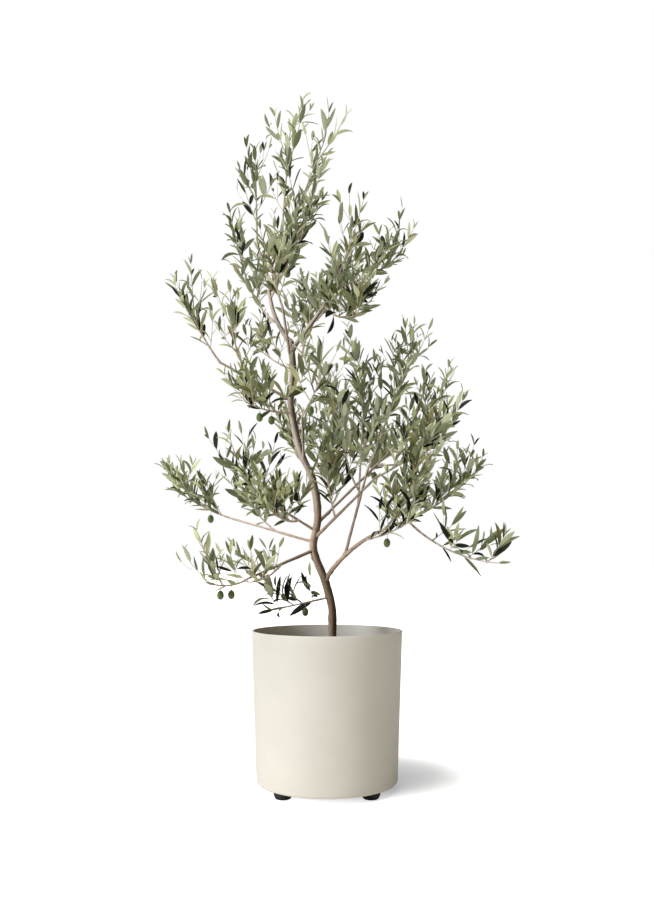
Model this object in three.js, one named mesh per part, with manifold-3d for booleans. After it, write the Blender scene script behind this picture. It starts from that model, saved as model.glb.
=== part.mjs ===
// A young olive tree in a cylindrical planter. Millimetres, +Z up, with the origin on the floor under the
// planter's axis. The planter is filled with soil, the trunk stands on the soil, and each bough carries masses
// of foliage.
import * as THREE from "three";
import { mergeVertices } from "three/addons/utils/BufferGeometryUtils.js";
import Module from "manifold-3d";

const wasm = await Module();
wasm.setup();

// ---- driving dimensions ----

const CLEAR = 0.3; // gap between pieces that rest on each other

const POT = {
  height: 331, // of the shell alone
  topRadius: 165,
  bottomRadius: 155,
  wall: 4,
  bottom: 6,
  edge: 6, // radius of the rounded bottom edge
  lip: 1.2, // radius of the rounded rim
  facets: 40,
};
const FOOT = { height: 15, radius: 20, contact: 12, circle: 130, count: 4, facets: 12 };
const SOIL = {
  below: 55, // under the rim, at the trunk
  fall: 7, // from there to the wall
  table: 24, // radius of the flat round the trunk
  facets: 24,
};

const POT_TOP = FOOT.height + POT.height;
const SOIL_TOP = POT_TOP - SOIL.below;

// The trunk winds up through these places, each [x, y, height above the soil].
const TRUNK = {
  bends: [
    [10, 0, CLEAR],
    [10, 0, 110],
    [-5, -5, 165],
    [-30, -10, 235],
    [-20, -5, 300],
    [-30, 5, 380],
    [-60, 10, 455],
    [-80, 10, 555],
    [-75, 10, 640],
    [-80, 5, 690],
  ],
  foot: 9, // radius above the root flare
  tip: 6.6,
  flare: 4.5, // more radius at the soil
  flareShare: 0.055, // of the trunk's length
  steps: 22,
  sides: 8,
};

// Each bough leaves the limb it is `on` at a share `at` of that limb's length. It sets out at a compass
// heading, in degrees from +X towards +Y, and at a pitch above the horizontal. Lift is how many degrees it has
// turned upward by its tip.
//   name, on, at, heading, pitch, length, lift, foot radius, tip radius
const BOUGHS = [
  ["leader_left", "trunk", 1, 180, 50, 145, 40, 5.2, 3.8],
  ["leader_right", "trunk", 0.975, -20, 50, 170, 0, 5, 2.8],
  ["leader_left_outer", "leader_left", 1, 140, 70, 110, 0, 3.2, 2.3],
  ["leader_left_inner", "leader_left", 0.88, -20, 70, 110, 10, 3.2, 2.3],
  ["bough_right_low", "trunk", 0.235, -25, 55, 240, -45, 5.2, 2.2],
  ["bough_right_rise", "bough_right_low", 0.3, -10, 75, 190, 0, 3.4, 2.3],
  ["bough_right_mid", "trunk", 0.37, -30, 40, 200, 0, 3.4, 2.2],
  ["bough_right_rear", "trunk", 0.42, 35, 40, 270, 0, 3.4, 2.2],
  ["bough_left_low", "trunk", 0.335, -145, -20, 175, 0, 3.8, 2.3],
  ["bough_left_mid", "trunk", 0.36, 155, 15, 195, 0, 3, 2],
  ["bough_left_rise", "trunk", 0.395, -160, 30, 130, 0, 3, 2.2],
  ["bough_wing", "trunk", 0.82, -165, 25, 175, 0, 3.4, 2.2],
  ["bough_rear_low", "trunk", 0.5, 100, 30, 150, 0, 3.4, 2.2],
  ["bough_rear_high", "trunk", 0.86, 80, 40, 150, 0, 3.2, 2.2],
  ["bough_front_mid", "trunk", 0.63, -90, 30, 150, 0, 3.2, 2.2],
  ["bough_front_high", "trunk", 0.9, -100, 50, 160, 0, 3, 2.2],
];
const BOUGH = { steps: 5, sides: 6 };

// Each mass of foliage has one stem, which leaves its limb as a bough does. `shoots` branch from it, each about
// `reach` long, and olives hang from some.
//   name, on, at, heading, pitch, length, lift, shoots, reach, olives
const MASSES = [
  ["top_spire", "leader_left_inner", 1, 20, 85, 245, 0, 5, 65],
  ["top_right", "leader_left_inner", 0.5, -25, 65, 280, 0, 5, 65],
  ["top_left", "leader_left_outer", 1, 100, 80, 170, 0, 5, 70],
  ["left_column", "leader_left", 0.35, 130, 30, 280, 50, 6, 75],
  ["core_high", "leader_left", 0.75, -40, 50, 185, 10, 5, 75, 1],
  ["wing_far", "bough_wing", 1, -160, 50, 130, 20, 5, 60],
  ["wing_near", "bough_wing", 0.6, -110, 30, 140, 40, 5, 75],
  ["olives_left", "trunk", 0.78, -125, -10, 160, 20, 5, 70, 2],
  ["left_inner", "bough_left_rise", 1, -120, 25, 120, 0, 5, 80],
  ["left_near", "bough_left_rise", 0.35, -110, -10, 150, 30, 5, 75],
  ["left_far", "bough_left_mid", 1, 170, 15, 165, 20, 5, 70, 1],
  ["left_rear", "bough_left_mid", 0.5, 120, 20, 190, 20, 5, 75],
  ["left_lowest", "bough_left_low", 1, -145, -30, 100, 50, 5, 58, 2],
  ["low_droop", "trunk", 0.18, -150, -10, 140, 0, 4, 45, 1],
  ["right_high_near", "leader_right", 0.6, -40, 45, 185, 30, 5, 70],
  ["right_high_far", "leader_right", 1, 30, 20, 175, 20, 5, 62],
  ["right_high_low", "leader_right", 0.7, -50, -50, 130, 60, 4, 62],
  ["core_right_high", "leader_right", 0.4, 60, 30, 205, 30, 5, 75],
  ["right_shoulder", "bough_right_rise", 1, 35, 65, 310, 0, 6, 88],
  ["right_upper", "bough_right_rear", 1, -15, 35, 170, 20, 6, 75],
  ["right_core", "bough_right_mid", 0.75, -115, 25, 210, 70, 5, 75],
  ["right_mid", "bough_right_mid", 1, -10, 25, 150, 20, 5, 75],
  ["right_tip", "bough_right_low", 0.9, 25, 20, 205, 20, 5, 65],
  ["right_near", "bough_right_low", 0.75, -65, 25, 155, 20, 5, 72],
  ["right_under", "bough_right_low", 0.55, -50, 5, 150, 20, 4, 60, 1],
  ["right_droop", "bough_right_low", 1, -20, -45, 210, 40, 4, 42],
  ["left_low_near", "bough_left_low", 0.5, -120, -35, 140, 40, 5, 65],
  ["right_inner", "bough_right_rise", 0.6, 70, 80, 310, 0, 6, 75],
  ["right_outer", "bough_right_rear", 0.8, -25, -10, 180, 60, 5, 70],
  ["rear_low", "bough_rear_low", 1, 120, 35, 140, 20, 5, 78],
  ["rear_mid", "bough_rear_low", 0.7, 60, 55, 220, 0, 5, 78],
  ["rear_right", "bough_right_rear", 0.6, 65, 20, 175, 20, 5, 76, 1],
  ["rear_high", "bough_rear_high", 1, 70, 60, 150, 10, 5, 76],
  ["rear_left", "bough_rear_high", 0.5, 140, 20, 145, 20, 5, 74],
  ["front_mid", "bough_front_mid", 1, -70, 20, 130, 10, 5, 80, 1],
  ["front_high", "bough_front_high", 1, -105, 30, 90, 30, 5, 75],
  ["front_right", "bough_right_mid", 0.35, -100, 30, 160, 20, 5, 75],
];

const CORE_LIFT = 30; // how far above its stem a mass is centred
const STEM = {
  foot: 2.6, // radii
  tip: 2.4,
  bare: 0.5, // share of a stem below its own leaves
  steps: 4,
  sides: 3,
};
const SHOOT = {
  foot: 0.9, // radii
  tip: 0.6,
  first: 0.2, // share of the stem below the first shoot
  splay: [62, 38], // degrees from the stem, at its foot and at its tip
  reach: [1.1, 0.75], // of the mass's reach, at the stem's foot and at its tip
  spread: 0.2, // by which a length is longer or shorter
  rise: 0.45, // how strongly a shoot is drawn up
  hang: 0.3, // of its downward lean, turned upward
  bare: 0.35, // share of a shoot below its first leaves
  steps: 8, // places where its room is tried
  least: 0.45, // share of a shoot that must have room
};
const LEAF = {
  length: 74,
  spread: 0.15, // by which a length is longer or shorter
  tipLength: 0.85, // of the leaf at a shoot's tip
  width: 17,
  thickness: 2,
  widest: 0.45, // share of the length where it is widest
  ridge: 0.38, // share of the length where it is thickest
  angle: 42, // from its shoot
  fan: 0.2, // by which an angle is wider or narrower
  sink: 0.4, // how far its root runs past the shoot's axis
  pairs: 52, // along a shoot, from one pair to the next
  last: 0.95, // share of a shoot below which its pairs lie
  tipAt: 0.98, // share of a shoot where its tip leaf starts
  room: 0.6, // kept to the edge of the mass's space
  apart: 10, // kept between leaves
};
const OLIVE = {
  radius: 7,
  length: 9.5, // half of the fruit's
  stalk: 12,
  sink: 2, // of the stalk's end in the fruit
  first: 0.45, // share of the stem where the first one hangs
  next: 0.25, // share of the stem from one to the next
};

const FINISH = {
  pot: new THREE.MeshStandardMaterial({ color: 0xdcd6c6, roughness: 0.6, metalness: 0 }),
  rubber: new THREE.MeshStandardMaterial({ color: 0x1d1e20, roughness: 0.7, metalness: 0 }),
  soil: new THREE.MeshStandardMaterial({ color: 0x3a2c21, roughness: 0.95, metalness: 0 }),
  bark: new THREE.MeshStandardMaterial({ color: 0x8c7461, roughness: 0.9, metalness: 0 }),
  foliage: new THREE.MeshStandardMaterial({ color: 0x7d8863, roughness: 0.6, metalness: 0 }),
};

// ---- small tools ----

const UP = new THREE.Vector3(0, 0, 1);
const between = (from, to) => (share) => from + (to - from) * share;
const count = (n) => [...Array(n).keys()];
const radians = THREE.MathUtils.degToRad;
const varied = (spread, roll) => 1 - spread + 2 * spread * roll; // a factor from 1 - spread to 1 + spread

// A repeatable stream of numbers from 0 to 1.
function dice(seed) {
  let state = seed >>> 0;
  return () => {
    state = (state + 0x6d2b79f5) >>> 0;
    let t = Math.imul(state ^ (state >>> 15), state | 1);
    t ^= t + Math.imul(t ^ (t >>> 7), t | 61);
    return ((t ^ (t >>> 14)) >>> 0) / 2 ** 32;
  };
}

// The direction of a compass heading and a pitch.
function bearing(heading, pitch) {
  const [h, p] = [radians(heading), radians(pitch)];
  return new THREE.Vector3(Math.cos(p) * Math.cos(h), Math.cos(p) * Math.sin(h), Math.sin(p));
}

// A horizontal direction square to a line, or +X square to an upright one.
function acrossOf(tangent) {
  const level = new THREE.Vector3(-tangent.y, tangent.x, 0);
  return level.length() > 0.05 ? level.normalize() : new THREE.Vector3(1, 0, 0);
}

// A closed three.js geometry as a solid that can be joined and cut.
function solidOf(geometry) {
  const bare = geometry.clone();
  bare.deleteAttribute("normal");
  bare.deleteAttribute("uv");
  const merged = mergeVertices(bare, 1e-3);
  return new wasm.Manifold(
    new wasm.Mesh({
      numProp: 3,
      vertProperties: new Float32Array(merged.attributes.position.array),
      triVerts: new Uint32Array(merged.index.array),
    }),
  );
}

// A solid as a three.js geometry.
function geometryOf(solid) {
  const mesh = solid.getMesh();
  const geometry = new THREE.BufferGeometry();
  geometry.setAttribute("position", new THREE.BufferAttribute(new Float32Array(mesh.vertProperties), 3));
  geometry.setIndex(new THREE.BufferAttribute(new Uint32Array(mesh.triVerts), 1));
  geometry.computeVertexNormals();
  return geometry;
}

// The largest connected piece of a solid, so that no loose scrap or sealed hollow is left.
function mainPiece(solid) {
  return solid.decompose().reduce((best, piece) => (piece.volume() > best.volume() ? piece : best));
}

// A closed round bar along a curve: rings of `sides` points whose radius is radiusAt(share), and flat ends.
function bar(curve, radiusAt, steps, sides) {
  const frames = curve.computeFrenetFrames(steps, false);
  const points = [];
  for (let step = 0; step <= steps; step++) {
    const centre = curve.getPointAt(step / steps);
    const radius = radiusAt(step / steps);
    for (let side = 0; side < sides; side++) {
      const turn = (2 * Math.PI * side) / sides;
      const out = frames.normals[step].clone().multiplyScalar(Math.cos(turn));
      out.addScaledVector(frames.binormals[step], Math.sin(turn));
      points.push(centre.clone().addScaledVector(out, radius));
    }
  }
  const faces = [];
  for (let step = 0; step < steps; step++) {
    for (let side = 0; side < sides; side++) {
      const a = step * sides + side;
      const b = step * sides + ((side + 1) % sides);
      faces.push(a, b, b + sides, a, b + sides, a + sides);
    }
  }
  for (let side = 1; side < sides - 1; side++) {
    const end = steps * sides;
    faces.push(0, side + 1, side, end, end + side, end + side + 1);
  }
  return new THREE.BufferGeometry().setFromPoints(points).setIndex(faces);
}

// The distance from a point to a line of points, and the share of the line where it is nearest.
function nearest(points, point) {
  const line = new THREE.Line3();
  const near = new THREE.Vector3();
  const found = { distance: Infinity, share: 0 };
  for (let i = 0; i < points.length - 1; i++) {
    line.set(points[i], points[i + 1]);
    const t = line.closestPointToPointParameter(point, true);
    const distance = line.at(t, near).distanceTo(point);
    if (distance < found.distance) Object.assign(found, { distance, share: (i + t) / (points.length - 1) });
  }
  return found;
}

// ---- limbs ----

const SPACED = 12; // straight stretches that a course is measured by

// A curve from `start` that sets out at a heading and a pitch and turns evenly upward by its lift.
function course(start, { heading, pitch, length, lift }) {
  const points = [start];
  for (let step = 0; step < SPACED; step++) {
    const share = (step + 0.5) / SPACED;
    const way = bearing(heading, pitch + lift * share);
    points.push(points[step].clone().addScaledVector(way, length / SPACED));
  }
  return new THREE.CatmullRomCurve3(points);
}

// The same course in a few straight stretches of one length.
function chain(curve, steps) {
  const corners = curve.getSpacedPoints(steps);
  const path = new THREE.CurvePath();
  for (const i of count(steps)) path.add(new THREE.LineCurve3(corners[i], corners[i + 1]));
  return path;
}

const limbs = new Map(); // name: { curve, radiusAt, points, steps, sides }

function addLimb(name, curve, radiusAt, { steps, sides }) {
  limbs.set(name, { curve, radiusAt, points: curve.getSpacedPoints(2 * SPACED), steps, sides });
}

const SEAT = 3; // how far before its limb's end a piece on that end starts

// Where a piece starts: on its limb's axis, to be cut clear of the limb.
function footOf(piece) {
  const { curve } = limbs.get(piece.on);
  const start = curve.getPointAt(piece.at);
  return piece.at === 1 ? start.addScaledVector(curve.getTangentAt(1), -SEAT) : start;
}

// The limb's solid, or one that is fatter by `grow`.
function limbSolid(name, grow = 0) {
  const { curve, radiusAt, steps, sides } = limbs.get(name);
  return solidOf(bar(curve, (share) => radiusAt(share) + grow, steps, sides));
}

// A solid that starts on a limb's axis, cut a gap clear of the limb's side, or of its end.
function clearOf(solid, piece) {
  const { curve, sides } = limbs.get(piece.on);
  const fat = limbSolid(piece.on, CLEAR / Math.cos(Math.PI / sides));
  const end = curve.getTangentAt(1).multiplyScalar(piece.at === 1 ? CLEAR : 0);
  return solid.subtract(fat.translate(end.toArray()));
}

function trunkRadius(share) {
  const flare = Math.max(0, 1 - share / TRUNK.flareShare) ** 2;
  return between(TRUNK.foot, TRUNK.tip)(share) + TRUNK.flare * flare;
}

const trunkBends = TRUNK.bends.map(([x, y, height]) => new THREE.Vector3(x, y, SOIL_TOP + height));
addLimb("trunk", new THREE.CatmullRomCurve3(trunkBends), trunkRadius, TRUNK);

const boughs = BOUGHS.map(([name, on, at, heading, pitch, length, lift, foot, tip]) => {
  const bough = { name, on, at };
  const curve = course(footOf(bough), { heading, pitch, length, lift });
  addLimb(name, curve, between(foot, tip), BOUGH);
  return bough;
});

const makeBough = (bough) => mainPiece(clearOf(limbSolid(bough.name), bough));

// ---- foliage ----

const masses = MASSES.map(([name, on, at, heading, pitch, length, lift, shoots, reach, olives = 0]) => {
  const mass = { name, on, at, shoots, reach, olives };
  mass.stem = chain(course(footOf(mass), { heading, pitch, length, lift }), STEM.steps);
  mass.points = mass.stem.getSpacedPoints(SPACED);
  mass.core = mass.points.map((point) => point.clone().addScaledVector(UP, CORE_LIFT));
  return mass;
});

// True if a point lies in a mass's own space: nearer to its core than to any other, and off the limbs and the
// other stems, each with `room` to spare.
function isFree(mass, point, room) {
  const own = nearest(mass.core, point).distance;
  for (const other of masses) {
    if (other === mass) continue;
    if (nearest(other.core, point).distance < own + 2 * room) return false;
    if (nearest(other.points, point).distance < STEM.foot + room + CLEAR) return false;
  }
  return [...limbs.values()].every(({ points, radiusAt }) => {
    const { distance, share } = nearest(points, point);
    return distance > radiusAt(share) + room + CLEAR;
  });
}

const GOLDEN = Math.PI * (3 - Math.sqrt(5)); // the turn from one shoot to the next

// The shoots of a mass, as straight lines. They spiral round its stem, lean along it and are drawn up, and one
// that would leave the mass's space ends there.
function shootsOf(mass, roll) {
  const found = [];
  for (let k = 0; k < mass.shoots; k++) {
    const share = SHOOT.first + ((1 - SHOOT.first) * (k + 0.5)) / mass.shoots;
    const [turnRoll, lengthRoll] = [roll(), roll()];
    const foot = mass.stem.getPointAt(share);
    const tangent = mass.stem.getTangentAt(share);
    const out = acrossOf(tangent).applyAxisAngle(tangent, GOLDEN * k + turnRoll);
    out.z = Math.max(out.z, -SHOOT.hang * out.z);
    const splay = radians(between(...SHOOT.splay)(share));
    const way = tangent.clone().multiplyScalar(Math.cos(splay)).addScaledVector(out, Math.sin(splay));
    way.addScaledVector(UP, SHOOT.rise).normalize();
    const length = mass.reach * between(...SHOOT.reach)(share) * varied(SHOOT.spread, lengthRoll);
    const at = (t) => foot.clone().addScaledVector(way, length * t);
    const isBlocked = (step) => !isFree(mass, at((step + 1) / SHOOT.steps), SHOOT.foot);
    const room = (count(SHOOT.steps).find(isBlocked) ?? SHOOT.steps) / SHOOT.steps;
    if (room >= SHOOT.least) found.push(new THREE.LineCurve3(foot, at(room)));
  }
  return found;
}

// A six-faced leaf, a long diamond with a ridge above, or null where there is no room for it.
function leafAt(mass, root, way, face, length, taken) {
  const side = way.clone().cross(face).normalize();
  const at = (along, across, over) =>
    root
      .clone()
      .addScaledVector(way, along * length - LEAF.sink)
      .addScaledVector(side, across * LEAF.width)
      .addScaledVector(face, over * LEAF.thickness);
  const edges = [at(LEAF.widest, 0.5, 0), at(LEAF.widest, -0.5, 0)];
  const points = [at(0, 0, 0), at(1, 0, 0), ...edges, at(LEAF.ridge, 0, 1)];
  const spots = [0.25, 0.45, 0.7, 1].map((along) => at(along, 0, 0));
  if (![...spots, ...edges].every((point) => isFree(mass, point, LEAF.room))) return null;
  if (spots.some((spot) => taken.some((other) => other.distanceTo(spot) < LEAF.apart))) return null;
  taken.push(...spots);
  const faces = [0, 2, 4, 0, 4, 3, 0, 3, 2, 1, 4, 2, 1, 3, 4, 1, 2, 3];
  return new THREE.BufferGeometry().setFromPoints(points).setIndex(faces);
}

// Opposite pairs of leaves along a curve and one leaf at its tip. Each pair is a sixth of a turn on from the
// last, so that each leaf leaves a three-sided shoot through one of its faces.
function leavesOn(mass, curve, bare, roll, taken) {
  const leaves = [];
  const pairs = Math.max(1, Math.round((curve.getLength() * (1 - bare)) / LEAF.pairs));
  const normal = curve.computeFrenetFrames(1, false).normals[0];
  for (let pair = 0; pair < pairs; pair++) {
    const share = bare + ((LEAF.last - bare) * pair) / pairs;
    const root = curve.getPointAt(share);
    const tangent = curve.getTangentAt(share);
    const side = normal.clone().applyAxisAngle(tangent, Math.PI / 2 + (pair * Math.PI) / 3);
    for (const hand of [-1, 1]) {
      const angle = radians(LEAF.angle * varied(LEAF.fan, roll()));
      const out = side.clone().multiplyScalar(hand);
      const way = tangent.clone().multiplyScalar(Math.cos(angle)).addScaledVector(out, Math.sin(angle));
      const face = tangent.clone().multiplyScalar(Math.sin(angle)).addScaledVector(out, -Math.cos(angle));
      leaves.push(leafAt(mass, root, way, face, LEAF.length * varied(LEAF.spread, roll()), taken));
    }
  }
  const way = curve.getTangentAt(1);
  const root = curve.getPointAt(LEAF.tipAt);
  leaves.push(leafAt(mass, root, way, acrossOf(way), LEAF.length * LEAF.tipLength, taken));
  return leaves.filter((leaf) => leaf !== null);
}

// An olive on its stalk, hanging under a point of the stem.
function oliveAt(mass, share) {
  const foot = mass.stem.getPointAt(share);
  const end = foot.clone().addScaledVector(UP, -OLIVE.stalk);
  const centre = end.clone().addScaledVector(UP, OLIVE.sink - OLIVE.length);
  if (!isFree(mass, centre, OLIVE.radius)) return [];
  const stalk = bar(new THREE.LineCurve3(foot, end), between(SHOOT.tip, SHOOT.tip), 1, 3);
  const fruit = new THREE.SphereGeometry(1, 6, 4).rotateX(Math.PI / 2);
  fruit.scale(OLIVE.radius, OLIVE.radius, OLIVE.length).translate(...centre.toArray());
  return [stalk, fruit];
}

function makeMass(mass, index) {
  const roll = dice(index + 1);
  const foot = Math.min(STEM.foot, limbs.get(mass.on).radiusAt(mass.at));
  const parts = [bar(mass.stem, between(foot, STEM.tip), STEM.steps, STEM.sides)];
  const shoots = shootsOf(mass, roll);
  const taken = shoots.flatMap((shoot) => shoot.getPoints(6).slice(2));
  for (const shoot of shoots) {
    parts.push(bar(shoot, between(SHOOT.foot, SHOOT.tip), 1, 3));
    parts.push(...leavesOn(mass, shoot, SHOOT.bare, roll, taken));
  }
  parts.push(...leavesOn(mass, mass.stem, STEM.bare, roll, taken));
  for (const n of count(mass.olives)) parts.push(...oliveAt(mass, OLIVE.first + OLIVE.next * n));
  return mainPiece(clearOf(wasm.Manifold.union(parts.map(solidOf)), mass));
}

// ---- planter, feet and soil ----

// Points along an arc of a profile, from one angle to another.
function arc(x, y, radius, from, to, steps) {
  return count(steps + 1).map((i) => {
    const angle = from + ((to - from) * i) / steps;
    return new THREE.Vector2(x + radius * Math.cos(angle), y + radius * Math.sin(angle));
  });
}

// A closed profile in (radius, height), turned about Z and set `lift` above the floor.
function turned(profile, facets, lift) {
  return new THREE.LatheGeometry(profile, facets).rotateX(Math.PI / 2).translate(0, 0, lift);
}

// The radius of the planter's outer face at a height above its underside.
const potRadius = (height) => between(POT.bottomRadius, POT.topRadius)(height / POT.height);

function makePot() {
  const { edge, lip, wall, bottom, height, topRadius } = POT;
  const profile = [
    new THREE.Vector2(0, 0),
    ...arc(potRadius(edge) - edge, edge, edge, -Math.PI / 2, 0, 4),
    ...arc(topRadius - lip, height - lip, lip, 0, Math.PI / 2, 2),
    ...arc(topRadius - wall + lip, height - lip, lip, Math.PI / 2, Math.PI, 2),
    new THREE.Vector2(potRadius(bottom) - wall, bottom),
    new THREE.Vector2(0, bottom),
  ];
  return turned(profile, POT.facets, FOOT.height);
}

function makeSoil() {
  const floor = POT.bottom + CLEAR;
  const top = SOIL_TOP - FOOT.height;
  const inside = (height) => (potRadius(height) - POT.wall) * Math.cos(Math.PI / POT.facets) - CLEAR;
  const profile = [
    new THREE.Vector2(0, floor),
    new THREE.Vector2(inside(floor), floor),
    new THREE.Vector2(inside(top - SOIL.fall), top - SOIL.fall),
    new THREE.Vector2(SOIL.table, top),
    new THREE.Vector2(0, top),
  ];
  return turned(profile, SOIL.facets, FOOT.height);
}

function makeFoot(index) {
  const turn = (2 * Math.PI * (index + 0.5)) / FOOT.count;
  const top = FOOT.height - CLEAR;
  const swell = FOOT.radius - FOOT.contact;
  const profile = [
    new THREE.Vector2(0, 0),
    ...arc(FOOT.contact, swell, swell, -Math.PI / 2, 0, 2),
    new THREE.Vector2(FOOT.radius, top),
    new THREE.Vector2(0, top),
  ];
  const foot = turned(profile, FOOT.facets, 0);
  return foot.translate(FOOT.circle * Math.cos(turn), FOOT.circle * Math.sin(turn), 0);
}

// ---- the whole plant ----

const plant = new THREE.Group();

function add(name, geometry, finish) {
  const mesh = new THREE.Mesh(geometry, finish);
  mesh.name = name;
  plant.add(mesh);
}

add("pot", makePot(), FINISH.pot);
for (const index of count(FOOT.count)) add(`foot_${index + 1}`, makeFoot(index), FINISH.rubber);
add("soil", makeSoil(), FINISH.soil);
add("trunk", geometryOf(limbSolid("trunk")), FINISH.bark);
for (const bough of boughs) add(bough.name, geometryOf(makeBough(bough)), FINISH.bark);
masses.forEach((mass, index) => {
  add(`foliage_${mass.name}`, geometryOf(makeMass(mass, index)), FINISH.foliage);
});

export default plant;
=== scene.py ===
"""The looks of a young olive tree in a round planter, from its feet and potting mix to its leaves and olives.

The tree grows by the rule of its solids, carried on to finer twigs. Its sizes are in millimetres, as theirs
are, and every mesh is made in metres. The sizes of the planter, its feet and the mix are in metres.
"""

import math
from functools import cache

import bpy
import numpy as np
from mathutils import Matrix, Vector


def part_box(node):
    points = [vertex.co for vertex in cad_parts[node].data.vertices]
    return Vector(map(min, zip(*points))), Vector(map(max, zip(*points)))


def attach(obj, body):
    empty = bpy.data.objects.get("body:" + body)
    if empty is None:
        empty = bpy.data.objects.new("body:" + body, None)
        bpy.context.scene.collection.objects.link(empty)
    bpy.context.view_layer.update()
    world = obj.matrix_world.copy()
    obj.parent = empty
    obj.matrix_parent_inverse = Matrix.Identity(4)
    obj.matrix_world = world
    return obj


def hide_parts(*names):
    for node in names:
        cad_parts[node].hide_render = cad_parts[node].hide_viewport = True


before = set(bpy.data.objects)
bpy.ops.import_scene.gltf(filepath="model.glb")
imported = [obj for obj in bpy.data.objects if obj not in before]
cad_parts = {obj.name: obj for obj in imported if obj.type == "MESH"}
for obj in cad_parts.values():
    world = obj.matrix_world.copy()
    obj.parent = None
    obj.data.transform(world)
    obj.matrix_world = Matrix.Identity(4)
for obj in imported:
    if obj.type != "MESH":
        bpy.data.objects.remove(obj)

bl_info = {
    "name": "Potted Olive Tree",
    "version": (1, 0, 0),
    "blender": (4, 5, 0),
    "location": "View3D > Sidebar > Olive Tree",
    "description": "Dresses the solids of a potted olive tree with bark, twigs, leaves, fruit and a planter",
    "category": "Object",
}

# ---- the tree's sizes and places, in millimetres ----

MM = 0.001

# The trunk winds up through these places, each x, y and height above the soil.
TRUNK_BENDS = [
    (10, 0, 0.3),
    (10, 0, 110),
    (-5, -5, 165),
    (-30, -10, 235),
    (-20, -5, 300),
    (-30, 5, 380),
    (-60, 10, 455),
    (-80, 10, 555),
    (-75, 10, 640),
    (-80, 5, 690),
]
TRUNK = {"foot": 9, "tip": 6.6, "flare": 4.5, "flare_share": 0.055}  # radii, and the share that flares

# Each bough leaves a limb at a share of the limb's length. It has a heading and a pitch in degrees, and turns
# upward by lift degrees over its length.
#   name, on, at, heading, pitch, length, lift, foot radius, tip radius
BOUGHS = [
    ("leader_left", "trunk", 1, 180, 50, 145, 40, 5.2, 3.8),
    ("leader_right", "trunk", 0.975, -20, 50, 170, 0, 5, 2.8),
    ("leader_left_outer", "leader_left", 1, 140, 70, 110, 0, 3.2, 2.3),
    ("leader_left_inner", "leader_left", 0.88, -20, 70, 110, 10, 3.2, 2.3),
    ("bough_right_low", "trunk", 0.235, -25, 55, 240, -45, 5.2, 2.2),
    ("bough_right_rise", "bough_right_low", 0.3, -10, 75, 190, 0, 3.4, 2.3),
    ("bough_right_mid", "trunk", 0.37, -30, 40, 200, 0, 3.4, 2.2),
    ("bough_right_rear", "trunk", 0.42, 35, 40, 270, 0, 3.4, 2.2),
    ("bough_left_low", "trunk", 0.335, -145, -20, 175, 0, 3.8, 2.3),
    ("bough_left_mid", "trunk", 0.36, 155, 15, 195, 0, 3, 2),
    ("bough_left_rise", "trunk", 0.395, -160, 30, 130, 0, 3, 2.2),
    ("bough_wing", "trunk", 0.82, -165, 25, 175, 0, 3.4, 2.2),
    ("bough_rear_low", "trunk", 0.5, 100, 30, 150, 0, 3.4, 2.2),
    ("bough_rear_high", "trunk", 0.86, 80, 40, 150, 0, 3.2, 2.2),
    ("bough_front_mid", "trunk", 0.63, -90, 30, 150, 0, 3.2, 2.2),
    ("bough_front_high", "trunk", 0.9, -100, 50, 160, 0, 3, 2.2),
]

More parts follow.
